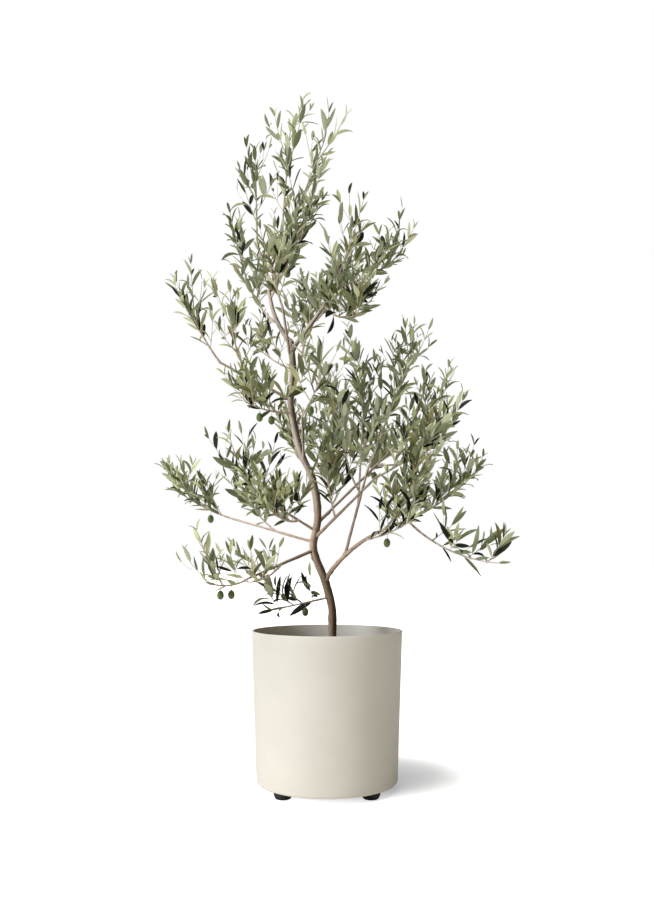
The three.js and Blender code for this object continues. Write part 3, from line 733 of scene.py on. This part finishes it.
def piece(name, shape, materials, nodes, slot, sharp=40, slots=None, **values):
    """Adds a finished piece of points, quads and triangles, which stands for CAD nodes.

    The slot is not used; each of the values becomes an attribute of its points.
    """
    points, quads, fans = shape
    mesh = bpy.data.meshes.new(name)
    corners = np.concatenate([quads.ravel(), fans.ravel()])
    sizes = np.concatenate([np.full(len(quads), 4), np.full(len(fans), 3)])
    mesh.vertices.add(len(points))
    mesh.vertices.foreach_set("co", points.astype(np.float32).ravel())
    mesh.loops.add(len(corners))
    mesh.loops.foreach_set("vertex_index", corners.astype(np.int32))
    mesh.polygons.add(len(sizes))
    mesh.polygons.foreach_set("loop_start", (np.cumsum(sizes) - sizes).astype(np.int32))
    mesh.polygons.foreach_set("use_smooth", np.ones(len(sizes), bool))
    if slots is not None:
        mesh.polygons.foreach_set("material_index", slots.astype(np.int32))
    mesh.update(calc_edges=True)
    mesh.set_sharp_from_angle(angle=math.radians(sharp))
    for key, value in values.items():
        attribute = mesh.attributes.new(key, "FLOAT", "POINT")
        attribute.data.foreach_set("value", value.astype(np.float32))
    for material in materials:
        mesh.materials.append(material)
    made = bpy.data.objects.new(name, mesh)
    bpy.context.scene.collection.objects.link(made)
    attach(made, "root")
    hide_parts(*nodes)


def mass_nodes():
    """The CAD nodes of the masses."""
    return [f"foliage_{row[0]}" for row in MASSES]


# ---- materials ----


class Wire:
    """A shader socket that +, - and * work on, each by a Math node."""

    def __init__(self, shader, socket):
        self.shader = shader
        self.socket = socket

    def _math(self, operation, first, second):
        return self.shader.node("ShaderNodeMath", {"operation": operation}, {0: first, 1: second})

    def __add__(self, other):
        return self._math("ADD", self, other)

    def __sub__(self, other):
        return self._math("SUBTRACT", self, other)

    def __rsub__(self, other):
        return self._math("SUBTRACT", other, self)

    def __mul__(self, other):
        return self._math("MULTIPLY", self, other)

    __radd__ = __add__
    __rmul__ = __mul__


class Shader:
    """A material with one Principled shader, and the one way to add any other node to it."""

    def __init__(self, name, colour=(0.8, 0.8, 0.8), **constants):
        self.material = bpy.data.materials.new(name)
        self.material.use_nodes = True
        self.tree = self.material.node_tree
        self.surface = self.tree.nodes["Principled BSDF"]
        self.surface.inputs["Base Color"].default_value = (*colour, 1)
        for key, value in constants.items():
            self.surface.inputs[key.replace("_", " ")].default_value = value

    def node(self, kind, settings=None, inputs=None, output=0):
        """A new node: its settings first, then the values or links of its sockets. Returns one output."""
        made = self.tree.nodes.new(kind)
        for key, value in (settings or {}).items():
            setattr(made, key, value)
        for key, value in (inputs or {}).items():
            self.link(made.inputs[key], value)
        return Wire(self, made.outputs[output])

    def link(self, socket, value):
        """Puts a value on a socket, or links a wire to it."""
        if isinstance(value, Wire):
            self.tree.links.new(value.socket, socket)
        else:
            socket.default_value = value

    def feed(self, name, value):
        """Links a wire to one of the surface's own sockets."""
        self.link(self.surface.inputs[name], value)

    def attribute(self, name):
        """A value that the mesh holds at its points."""
        return self.node("ShaderNodeAttribute", {"attribute_name": name}, output="Fac")

    def place(self):
        """The point on the object, in metres."""
        return self.node("ShaderNodeTexCoord", output="Object")

    def cloud(self, scale, detail=3, roughness=0.5, place=None):
        """Soft noise about 0.5, with scale spots to the metre."""
        inputs = {"Vector": place or self.place(), "Scale": scale, "Detail": detail, "Roughness": roughness}
        return self.node("ShaderNodeTexNoise", inputs=inputs)

    def step(self, value, low, high):
        """A wire stretched so that low becomes 0 and high becomes 1, smoothly."""
        inputs = {"Value": value, "From Min": low, "From Max": high}
        return self.node("ShaderNodeMapRange", {"interpolation_type": "SMOOTHSTEP"}, inputs)

    def mix(self, share, first, second):
        """A colour that goes from first to second."""
        colours = [c if isinstance(c, Wire) else (*c, 1) for c in (first, second)]
        return self.node("ShaderNodeMix", {"data_type": "RGBA"}, {0: share, 6: colours[0], 7: colours[1]}, 2)

    def bump(self, height, distance, strength=1.0):
        """Feeds the surface's normal with a height in units of distance, in metres."""
        inputs = {"Height": height, "Distance": distance, "Strength": strength}
        self.feed("Normal", self.node("ShaderNodeBump", inputs=inputs))


def painted_shell(settings):
    """Matt cream paint: a faint mottle, and a fine grain that breaks up its sheen."""
    shader = Shader("planter_paint", Specular_IOR_Level=0.4)
    colour = np.array(settings.paint)
    mottle = shader.step(shader.cloud(9, 4, 0.6), 0.35, 0.65)
    shader.feed("Base Color", shader.mix(mottle, colour * 0.965, colour))
    shader.feed("Roughness", settings.paint_roughness - 0.04 + 0.08 * shader.cloud(35, 2))
    shader.bump(shader.cloud(900, 3, 0.6) + 0.5 * shader.cloud(160, 2), 0.00012, 0.35)
    return shader.material


def rubber():
    """Dull black rubber with a little dust."""
    shader = Shader("foot_rubber", Specular_IOR_Level=0.35)
    dust = shader.step(shader.cloud(120, 4, 0.7), 0.45, 0.7)
    shader.feed("Base Color", shader.mix(dust, (0.012, 0.012, 0.014), (0.045, 0.043, 0.042)))
    shader.feed("Roughness", 0.55 + 0.25 * dust)
    shader.bump(shader.cloud(1500, 2), 0.00005)
    return shader.material


def potting_mix():
    """Moist crumbs: near black in the hollows, brown on top, with some fibres."""
    shader = Shader("potting_mix", Specular_IOR_Level=0.3, Roughness=0.92)
    crumbs = shader.cloud(260, 6, 0.7)
    patches = shader.step(shader.cloud(26, 3), 0.35, 0.7)
    brown = shader.mix(patches, (0.030, 0.019, 0.012), (0.085, 0.055, 0.035))
    shader.feed("Base Color", shader.mix(shader.step(crumbs, 0.35, 0.65), (0.010, 0.007, 0.005), brown))
    shader.bump(crumbs, 0.004, 0.8)
    return shader.material


def bark(settings):
    """Brown bark, greyer up the tree, with cracks and grain: painted light makes the side that faces the key
    light lighter, and painted shade makes the far side dark.
    """
    shader = Shader("bark", Specular_IOR_Level=0.25)
    relief, bleach = shader.attribute("relief"), shader.attribute("bleach")
    height = shader.node("ShaderNodeSeparateXYZ", inputs={"Vector": shader.place()}, output=2)
    grain = shader.node("ShaderNodeMapping", inputs={"Vector": shader.place(), "Scale": (1, 1, 0.22)})
    fine = shader.cloud(700, 4, 0.65, grain)
    patch = shader.step(shader.cloud(34, 3, 0.6), 0.38, 0.66)
    brown = shader.mix(0.5 * patch, settings.bark_light, settings.bark_grey)
    sunny = shader.mix(shader.step(height, 0.45, 0.8), settings.bark_brown, brown)
    # Painted light and shade: bark that faces the key light takes the lit colour, and the far side takes the
    # dark colour of the cracks.
    sides = shader.mix(shader.step(bleach + 0.3 * fine, 0.3, 0.95), settings.bark_dark, sunny)
    ridge = shader.step(relief + 0.5 * fine, 0.25, 0.9)
    shader.feed("Base Color", shader.mix(ridge, settings.bark_dark, sides))
    shader.feed("Roughness", 0.95 - 0.2 * ridge)
    shader.bump(fine, 0.0006, 0.7)
    return shader.material


def young_bark(settings):
    """Smooth twig bark: greenish tan on the thinnest twigs, and brown and mottled where they are older."""
    shader = Shader("twig_bark", Specular_IOR_Level=0.3, Roughness=0.75)
    age = shader.step(shader.attribute("age"), 0.3, 0.9)
    patch = shader.step(shader.cloud(150, 3, 0.6), 0.35, 0.65)
    brown = shader.mix(patch, np.array(settings.bark_light) * 0.55, settings.bark_light)
    shader.feed("Base Color", shader.mix(age, settings.twig, brown))
    return shader.material


def olive_skin(settings):
    """Glossy green skin with pale dots."""
    shader = Shader("olive_skin", Specular_IOR_Level=0.5, Roughness=0.32)
    colour = np.array(settings.olive)
    dots = shader.step(shader.cloud(900, 1), 0.68, 0.74)
    tint = shader.mix(shader.step(shader.cloud(50, 2), 0.35, 0.7), colour * 0.7, colour)
    shader.feed("Base Color", shader.mix(0.5 * dots, tint, (0.42, 0.47, 0.26)))
    return shader.material


def plain(name, colour, roughness, gloss=0.35):
    """A leaf's finish of one colour."""
    return Shader(name, colour, Roughness=roughness, Specular_IOR_Level=gloss).material


# ---- settings ----


def colour_of(name, text, value):
    """A colour setting with its default."""
    kind = bpy.props.FloatVectorProperty
    return kind(name=name, description=text, default=value, subtype="COLOR", min=0, max=1)


def number_of(name, text, value, least, most, **unit_or_subtype):
    """A number setting with its default and its bounds."""
    kind = bpy.props.FloatProperty
    return kind(name=name, description=text, default=value, min=least, max=most, **unit_or_subtype)


class PlanterSettings(bpy.types.PropertyGroup):
    """What a user may change on the planter."""

    paint: colour_of("Paint", "Colour of the planter's matt paint", (0.80, 0.74, 0.62))
    paint_roughness: number_of("Paint roughness", "How dull the paint is", 0.5, 0.1, 1, subtype="FACTOR")
    columns: bpy.props.IntProperty(
        name="Columns", description="Faces round it", default=192, min=24, max=512, subtype="UNSIGNED"
    )


class BarkSettings(bpy.types.PropertyGroup):
    """What a user may change on the trunk, boughs and twigs."""

    # The light and brown bark colours are those of the side that faces the key light, painted light; the
    # light one is also the twigs' own brown.
    bark_light: colour_of("Light bark", "Colour of the bleached bark of the boughs", (0.80, 0.65, 0.52))
    bark_brown: colour_of("Brown bark", "Colour of the bleached bark low on the trunk", (0.66, 0.47, 0.32))
    # The dark bark colour is the cracks' own colour and also the painted shade on the side away from the key
    # light.
    bark_dark: colour_of("Dark bark", "Colour of the bark's cracks", (0.11, 0.075, 0.045))
    bark_grey: colour_of("Grey bark", "Colour of the bark's weathered patches", (0.62, 0.54, 0.45))
    twig: colour_of("Twigs", "Colour of the youngest twigs", (0.60, 0.53, 0.38))
    relief: number_of("Relief", "Depth of the bark's cracks and knots", 0.0011, 0, 0.004, unit="LENGTH")


class LeafSettings(bpy.types.PropertyGroup):
    """What a user may change on the leaves and fruit."""

    length: number_of("Leaf length", "Length of a full-grown leaf", 0.046, 0.02, 0.1, unit="LENGTH")
    gap: number_of("Leaf spacing", "Distance from one pair to the next", 0.025, 0.01, 0.06, unit="LENGTH")
    green: colour_of("Green leaves", "Colour of the greener upper sides", (0.10, 0.12, 0.03))
    grey: colour_of("Grey leaves", "Colour of the greyer upper sides", (0.24, 0.25, 0.10))
    brown: colour_of("Brownish leaves", "Colour of the browner upper sides", (0.25, 0.22, 0.07))
    pale: colour_of("Pale leaves", "Colour of the palest upper sides", (0.60, 0.60, 0.30))
    # Painted shade: this near-black colour stands in for the shade deep in the crown, not for the leaves' own
    # colour.
    shaded: colour_of("Old leaves", "Colour of the darkest leaves", (0.012, 0.017, 0.006))
    young: colour_of("Young leaves", "Colour of the youngest leaves", (0.52, 0.54, 0.26))
    turned: colour_of("Turning leaf", "Colour of a leaf about to fall", (0.55, 0.50, 0.10))
    under: colour_of("Underside", "Colour of a leaf's underside", (0.49, 0.51, 0.31))
    olive: colour_of("Olives", "Colour of the fruit", (0.15, 0.21, 0.05))


class StageSettings(bpy.types.PropertyGroup):
    """What a user may change on the floor and the light."""

    floor: colour_of("Floor", "Colour of the floor", (0.79, 0.77, 0.73))
    key: number_of("Key light", "Strength of the light from the left", 1.65, 0, 20, subtype="UNSIGNED")
    height: number_of(
        "Key height", "Angle of the key light's rise", math.radians(16), 0, math.pi / 2, subtype="ANGLE"
    )
    sharpness: number_of(
        "Inner width", "Width of the key light's sharper part", math.radians(14), 0, math.pi, subtype="ANGLE"
    )
    softness: number_of(
        "Outer width", "Width of the key light's softer part", math.radians(60), 0, math.pi, subtype="ANGLE"
    )
    top: number_of("Top light", "Strength of the wide light from above", 2.75, 0, 20, subtype="UNSIGNED")
    fill: number_of("Fill light", "Brightness of the studio all round", 0.09, 0, 2, subtype="FACTOR")
    glow: number_of(
        "Floor glow", "How strongly the floor's own glow washes out the shadow", 0.43, 0, 2, subtype="FACTOR"
    )


class TreeSettings(bpy.types.PropertyGroup):
    """All settings of the potted olive tree."""

    planter: bpy.props.PointerProperty(type=PlanterSettings)
    bark: bpy.props.PointerProperty(type=BarkSettings)
    leaf: bpy.props.PointerProperty(type=LeafSettings)
    stage: bpy.props.PointerProperty(type=StageSettings)


# ---- operators ----


class OLIVE_OT_planter(bpy.types.Operator):
    """Turn the planter's thin shell, with a rounded lip and bottom edge"""

    bl_idname = "olive.planter"
    bl_label = "Planter"

    def execute(self, context):
        settings = context.scene.olive_tree.planter
        wall, floor, edge, lip, bands = (POT[key] for key in ("wall", "floor", "edge", "lip", "bands"))
        low, high, top = POT_LOW[2], POT_HIGH[2], POT_HIGH[0]
        outside = np.linspace(low + POT["first"], high - POT["last"], bands)
        inside = np.linspace(high - POT["last"], low + floor + POT["inner"], bands)

        def outer(z):
            return blend(POT["bottom_radius"], top, (z - low) / (high - low))

        profile = np.concatenate(
            [
                [[POT["centre"], low], [POT["flat"], low]],
                arc(outer(low + edge) - edge, low + edge, edge, -90, 0, 8),
                [[outer(z), z] for z in outside],
                arc(top - lip, high - lip, lip, 0, 90, 4),
                arc(top - wall + lip, high - lip, lip, 90, 180, 4),
                [[outer(z) - wall, z] for z in inside],
                [[outer(low) - wall - POT["slope"], low + floor], [POT["centre"], low + floor]],
            ]
        )
        shape = shells(turned(profile, settings.columns))
        piece("planter", shape, [painted_shell(settings)], ["pot"], "pot")
        return {"FINISHED"}


class OLIVE_OT_feet(bpy.types.Operator):
    """Turn the planter's round rubber feet"""

    bl_idname = "olive.feet"
    bl_label = "Feet"

    def execute(self, context):
        shapes = []
        for node in FEET:
            low, high = (np.array(corner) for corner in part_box(node))
            radius, height = (high[0] - low[0]) / 2, high[2] - low[2]
            edge, shoulder = FOOT["edge"], FOOT["shoulder"]
            profile = np.concatenate(
                [
                    [[FOOT["centre"], 0]],
                    arc(radius - FOOT["tread"], edge, edge, -90, -20, 6),
                    arc(radius - shoulder, height - shoulder, shoulder, -10, 90, 6),
                    [[FOOT["centre"], height]],
                ]
            )
            points, quads, fans = shells(turned(profile, FOOT["sides"]))
            middle = (low + high) / 2
            shapes.append((points + [middle[0], middle[1], 0], quads, fans))
        piece("planter_feet", joined(shapes), [rubber()], FEET, "rubber")
        return {"FINISHED"}


class OLIVE_OT_soil(bpy.types.Operator):
    """Heap the potting mix: a crumbly top that falls to the wall, with loose clods on it"""

    bl_idname = "olive.soil"
    bl_label = "Potting mix"

    def execute(self, context):
        low, high, top = SOIL_LOW[2], SOIL_HIGH[2], SOIL_HIGH[0]
        radii = np.linspace(MIX["centre"], top, MIX["rows"])
        profile = np.stack([radii, high - self.fall(radii, top)], -1)[::-1]
        foot = POT["bottom_radius"] - POT["wall"] - MIX["gap"]
        bottom = np.array([[MIX["flat"], low], [foot, low]])
        rings = turned(np.concatenate([bottom, profile]), MIX["columns"])
        inside = np.clip((top - np.linalg.norm(rings[0, 2:, :, :2], axis=-1)) / MIX["shore"], 0, 1)
        place = rings[0, 2:] * [1, 1, 0]
        crumbs = sum(lump * noise(place * scale, seed) for scale, lump, seed in MIX["crumbs"])
        rings[0, 2:, :, 2] += inside * (crumbs - MIX["sink"])
        shape = joined([shells(rings), self.clods(high - MIX["sink"], top)])
        piece("potting_mix", shape, [potting_mix()], ["soil"], "soil", sharp=60)
        return {"FINISHED"}

    def fall(self, radii, top):
        """How far the mix has sunk: level round the trunk, and evenly more from there out to the wall."""
        return MIX["fall"] * np.clip((radii - MIX["shaft"]) / (top - MIX["shaft"]), 0, 1)

    def clods(self, height, top):
        """Dented balls strewn evenly over the mix, each at the radius (top - 2 shore) sqrt(u)."""
        rng = np.random.default_rng(SEEDS["clods"])
        count, rows, columns = MIX["clods"], 5, 7
        spread = np.sqrt(rng.uniform(MIX["bare"], 1, count)) * (top - 2 * MIX["shore"])
        turn = rng.uniform(0, 2 * math.pi, count)
        middle = np.stack([spread * np.cos(turn), spread * np.sin(turn), height - self.fall(spread, top)], -1)
        lat = np.linspace(-1.3, 1.3, rows)[None, :, None]
        lon = round_turn(columns)[None, None] + rng.uniform(0, 6, (count, 1, 1))
        z = np.sin(lat) + 0 * lon
        ball = np.stack([np.cos(lat) * np.cos(lon), np.cos(lat) * np.sin(lon), z], -1)
        size = rng.uniform(*MIX["clod"], (count, 1, 1, 1)) * rng.uniform(0.7, 1.2, (count, 1, 1, 3))
        dents = 1 + rng.uniform(-0.22, 0.22, (count, rows, columns, 1))
        return shells(middle[:, None, None] + ball * size * dents)


class OLIVE_OT_bark(bpy.types.Operator):
    """Skin the trunk and the boughs with bark in relief: cracks, knots and swollen joints"""

    bl_idname = "olive.bark"
    bl_label = "Bark"

    def execute(self, context):
        settings = context.scene.olive_tree.bark
        material = bark(settings)
        names = [row[0] for row in BOUGHS]
        depth = settings.relief / MM
        shape, relief, bleach = self.skin(limbs()["trunk"], BARK["trunk_sides"], 0, depth)
        piece("bark_trunk", shape, [material], ["trunk"], "bark", 80, relief=relief, bleach=bleach)
        skins = [
            self.skin(limbs()[name], BARK["bough_sides"], number, depth * BARK["shallower"])
            for number, name in enumerate(names, 1)
        ]
        shape = joined([skin[0] for skin in skins])
        relief, bleach = (np.concatenate([skin[part] for skin in skins]) for part in (1, 2))
        piece("bark_boughs", shape, [material], names, "bark", 80, relief=relief, bleach=bleach)
        return {"FINISHED"}

    def skin(self, limb, sides, seed, depth):
        """A limb's skin, and its relief and its painted light from 0 to 1, which is how far each point faces
        the key light.

        Its height is depth (0.55 cracks + 0.9 lump + 1.6 knots), all of noise stretched along the limb:
        cracks = 1 - |coarse| - |fine|, and knots = 2.2 max(0, knot - 0.45). A bough swells where it leaves
        its limb, by half its radius times exp(-(distance / radius)^2 / 4). The trunk has seed 0.
        """
        line, radii = limb["line"], limb["radii"]
        run = np.arange(len(line)) * np.linalg.norm(line[1] - line[0])
        turn = round_turn(sides)
        r = radii[:, None]
        place = np.stack([r * np.cos(turn), r * np.sin(turn), run[:, None] + 0 * turn], -1)
        coarse, fine, knot, lump = (noise(place / size, seed + more) for size, more in BARK["noises"])
        cracks = 1 - np.abs(coarse) - np.abs(fine)
        knots = np.maximum(0, knot - 0.45) * 2.2
        collar = 0.5 * radii[0] * np.exp(-((run / radii[0]) ** 2) / 4) if seed else 0 * run
        height = depth * (0.55 * cracks + 0.9 * lump + 1.6 * knots)
        shape = tubes(line[None], (r + collar[:, None] + height)[None], sides)
        relief = np.clip(0.5 + 0.5 * cracks, 0, 1)
        out = unit(shape[0][:-2].reshape(len(line), sides, 3) - line[:, None] * MM)
        # Painted light: points that face the key light get more of it, and the trunk's far side falls off
        # faster into painted shade.
        bleach = (0.5 + 0.5 * out @ unit(np.array(BARK["bleached"]))) ** (1 if seed else BARK["shade"])
        return shape, *(np.append(value.ravel(), [0.5, 0.5]) for value in (relief, bleach))


class OLIVE_OT_twigs(bpy.types.Operator):
    """Grow the stems of the masses, the whips, the shoots and the side twigs that branch from them"""

    bl_idname = "olive.twigs"
    bl_label = "Twigs"

    def execute(self, context):
        settings = context.scene.olive_tree.bark
        lines, _ = shoots()
        size = np.clip(lengths_of(lines) / SHOOT["full"], *SHOOT["girth"])
        feet = olive_feet()
        ends = feet - UP * OLIVE["stalk"]
        stalks = np.stack([feet, (feet + ends) / 2 + OLIVE["stalk_radius"], ends], 1)
        bars = [
            self.bars(stems(), STEM["foot"], STEM["tip"], 8),
            self.bars(whips(), WHIP["foot"], WHIP["tip"], 6),
            self.bars(lines, SHOOT["foot"] * size, SHOOT["tip"] * size, 5),
            self.bars(stalks, OLIVE["stalk_radius"], OLIVE["stalk_radius"], 5),
        ]
        shape = joined([bar for bar, _ in bars])
        age = np.concatenate([ages for _, ages in bars])
        piece("twigs", shape, [young_bark(settings)], mass_nodes(), "foliage", age=age)
        return {"FINISHED"}

    def bars(self, lines, foot, tip, sides):
        """Tapered bars along lines, and the age of each point, which goes by its radius."""
        share = np.linspace(0, 1, lines.shape[1])
        radii = blend(np.atleast_1d(foot)[:, None], np.atleast_1d(tip)[:, None], share)
        radii = np.broadcast_to(radii, lines.shape[:2])
        rings = np.repeat(radii, sides, axis=1)
        ages = np.concatenate([rings, radii[:, :1], radii[:, -1:]], 1) / STEM["foot"]
        return tubes(lines, radii, sides), ages.ravel()


class OLIVE_OT_leaves(bpy.types.Operator):
    """Set the leaves along every shoot in opposite pairs, and deal out their tones by spray"""

    bl_idname = "olive.leaves"
    bl_label = "Leaves"

    def execute(self, context):
        settings = context.scene.olive_tree.leaf
        leaf = leaves(settings.length / MM, settings.gap / MM)
        count = len(leaf["length"])
        faces, upper = leaf_faces(count)
        tone, back = self.tones(leaf)
        slots = np.where(upper, tone[:, None], back[:, None]).ravel()
        materials = [
            plain("leaf_green", settings.green, 0.45),
            plain("leaf_grey", settings.grey, 0.48),
            plain("leaf_brown", settings.brown, 0.48),
            plain("leaf_pale", settings.pale, 0.48),
            # Painted shade: a near-black finish for leaves that stand in shade.
            plain("leaf_painted_shade", settings.shaded, 0.6, gloss=0.15),
            plain("leaf_young", settings.young, 0.5),
            plain("leaf_turning", settings.turned, 0.5),
            plain("leaf_under", settings.under, 0.75),
            plain("leaf_under_pale", np.array(settings.under) * 1.5, 0.75),
            plain("leaf_under_green", np.array(settings.under) * (0.5, 0.55, 0.45), 0.75),
        ]
        shape = (leaf_points(leaf).reshape(-1, 3), np.zeros((0, 4), int), faces)
        piece("leaves", shape, materials, mass_nodes(), "foliage", sharp=70, slots=slots)
        return {"FINISHED"}

    def tones(self, leaf):
        """The materials of each leaf's sides: a tone to a spray, some strays, and young pairs at tips."""
        rng = np.random.default_rng(SEEDS["tones"])
        lines = leaf["line"].max() + 1
        tone = rng.choice(UPPER, lines)[leaf["line"]]
        stray = rng.random(len(tone)) < SHARES["stray"]
        tone = np.where(stray, rng.choice(UPPER, len(tone)), tone)
        young = (leaf["share"] > SHARES["tip"]) & (rng.random(len(tone)) < SHARES["young"])
        tone = np.where(young, YOUNG, tone)
        # Painted shade: most leaves of the masses under the crown get the near-black tone.
        dark = np.isin(leaf["owner"], [row for row, mass in enumerate(MASSES) if mass[0] in SHADED])
        tone = np.where(dark & (rng.random(len(tone)) < SHARES["in_shade"]), SHADOWED, tone)
        tone[np.argmin(np.linalg.norm(leaf["root"] - TURNING, axis=1))] = TURNED
        back = UNDER + rng.choice(UNDERSIDES, lines)[leaf["line"]]
        return tone, back


class OLIVE_OT_fruit(bpy.types.Operator):
    """Hang the olives on their stalks"""

    bl_idname = "olive.fruit"
    bl_label = "Olives"

    def execute(self, context):
        settings = context.scene.olive_tree.leaf
        middle = (olive_feet() - UP * (OLIVE["stalk"] + OLIVE["length"] - OLIVE["sink"])) * MM
        lat = np.radians(np.linspace(-84, 84, OLIVE["rows"]))[:, None]
        lon = round_turn(OLIVE["columns"])
        radius = OLIVE["radius"] * MM * np.cos(lat) * (1 - OLIVE["taper"] * np.sin(lat))
        z = OLIVE["length"] * MM * np.sin(lat) + 0 * lon
        ball = np.stack([radius * np.cos(lon), radius * np.sin(lon), z], -1)
        shape = shells(middle[:, None, None] + ball)
        piece("olives", shape, [olive_skin(settings)], mass_nodes(), "foliage")
        return {"FINISHED"}


class OLIVE_OT_stage(bpy.types.Operator):
    """Lay the pale floor, set the soft light and place the camera"""

    bl_idname = "olive.stage"
    bl_label = "Stage"

    def execute(self, context):
        settings = context.scene.olive_tree.stage
        self.floor(settings)
        self.studio(context.scene, settings)
        self.camera(context.scene)
        return {"FINISHED"}

    def floor(self, settings):
        """A wide pale disc, with a glow that only the camera sees, and that grows away from the shadow."""
        shader = Shader("floor_paper", settings.floor, Roughness=1.0, IOR=1.0)
        seen = shader.node("ShaderNodeLightPath", output="Is Camera Ray")
        shader.surface.inputs["Emission Strength"].default_value = settings.glow
        ends = {0: shader.place(), 1: SHADOW["middle"]}
        away = shader.node("ShaderNodeVectorMath", {"operation": "DISTANCE"}, ends, 1)
        glow = shader.mix(shader.step(away, SHADOW["deep"], SHADOW["clear"]), GLOW["deep"], GLOW["clear"])
        shader.feed("Emission Color", shader.mix(seen, (0, 0, 0), glow))
        turn = round_turn(FLOOR["sides"])
        rim = FLOOR["radius"] * np.stack([np.cos(turn), np.sin(turn), 0 * turn], -1)
        mesh = bpy.data.meshes.new("floor")
        mesh.from_pydata(rim.tolist(), [], [list(range(len(rim)))])
        mesh.materials.append(shader.material)
        made = bpy.data.objects.new("floor", mesh)
        bpy.context.scene.collection.objects.link(made)

    def studio(self, scene, settings):
        """A key light from the left in two parts, a wide light from above, and an even fill."""
        side = (math.pi / 2 - settings.height, 0, math.radians(KEY["azimuth"]))
        sharp = KEY["sharp"]
        self.lamp(scene, "key_light", settings.key * sharp, settings.sharpness, side, KEY["colour"])
        self.lamp(scene, "key_wide", settings.key * (1 - sharp), settings.softness, side, KEY["colour"])
        above = (math.radians(TOP["tilt"]), 0, math.radians(TOP["azimuth"]))
        self.lamp(scene, "top_light", settings.top, math.radians(TOP["width"]), above, TOP["colour"])
        world = bpy.data.worlds.new("studio")
        world.use_nodes = True
        nodes, links = world.node_tree.nodes, world.node_tree.links
        path = nodes.new("ShaderNodeLightPath")
        lit = nodes["Background"]
        lit.inputs["Color"].default_value = FILL_COLOUR
        lit.inputs["Strength"].default_value = settings.fill
        seen = nodes.new("ShaderNodeBackground")
        seen.inputs["Color"].default_value = (1, 1, 1, 1)
        choice = nodes.new("ShaderNodeMixShader")
        links.new(path.outputs["Is Camera Ray"], choice.inputs[0])
        links.new(lit.outputs[0], choice.inputs[1])
        links.new(seen.outputs[0], choice.inputs[2])
        links.new(choice.outputs[0], nodes["World Output"].inputs["Surface"])
        scene.world = world
        scene.view_settings.view_transform = "Standard"

    def lamp(self, scene, name, energy, width, turn, colour):
        """A far lamp that lights the whole stage evenly; the wider it is, the softer its shadows."""
        lamp = bpy.data.objects.new(name, bpy.data.lights.new(name, "SUN"))
        lamp.data.energy = energy
        lamp.data.angle = width
        lamp.data.color = colour
        lamp.rotation_euler = turn
        scene.collection.objects.link(lamp)

    def camera(self, scene):
        """A level camera half a metre up, which looks along +Y."""
        data = bpy.data.cameras.new("camera")
        data.lens = CAMERA["lens"]
        data.shift_y = CAMERA["shift"]
        data.clip_end = CAMERA["reach"]
        made = bpy.data.objects.new("camera", data)
        made.location = CAMERA["place"]
        made.rotation_euler = (math.pi / 2, 0, 0)
        scene.collection.objects.link(made)
        scene.camera = made


OPERATORS = [
    OLIVE_OT_stage,
    OLIVE_OT_planter,
    OLIVE_OT_feet,
    OLIVE_OT_soil,
    OLIVE_OT_bark,
    OLIVE_OT_twigs,
    OLIVE_OT_leaves,
    OLIVE_OT_fruit,
]


class OLIVE_PT_panel(bpy.types.Panel):
    """The tree's steps and settings in the sidebar"""

    bl_label = "Olive Tree"
    bl_idname = "OLIVE_PT_panel"
    bl_space_type = "VIEW_3D"
    bl_region_type = "UI"
    bl_category = "Olive Tree"

    def draw(self, context):
        tree = context.scene.olive_tree
        for operator in OPERATORS:
            self.layout.operator(operator.bl_idname)
        for group in (tree.planter, tree.bark, tree.leaf, tree.stage):
            box = self.layout.box()
            for name in group.__annotations__:
                box.prop(group, name)


GROUPS = [PlanterSettings, BarkSettings, LeafSettings, StageSettings, TreeSettings]
CLASSES = [*GROUPS, *OPERATORS, OLIVE_PT_panel]


def register():
    """Adds the classes and the scene's settings."""
    for cls in CLASSES:
        bpy.utils.register_class(cls)
    bpy.types.Scene.olive_tree = bpy.props.PointerProperty(type=TreeSettings)


def unregister():
    """Takes them away again."""
    del bpy.types.Scene.olive_tree
    for cls in reversed(CLASSES):
        bpy.utils.unregister_class(cls)


def main():
    """Dresses the frame."""
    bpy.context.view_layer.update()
    register()
    for operator in OPERATORS:
        getattr(bpy.ops.olive, operator.bl_idname.split(".")[1])()
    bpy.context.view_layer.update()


if __name__ == "__main__":
    main()
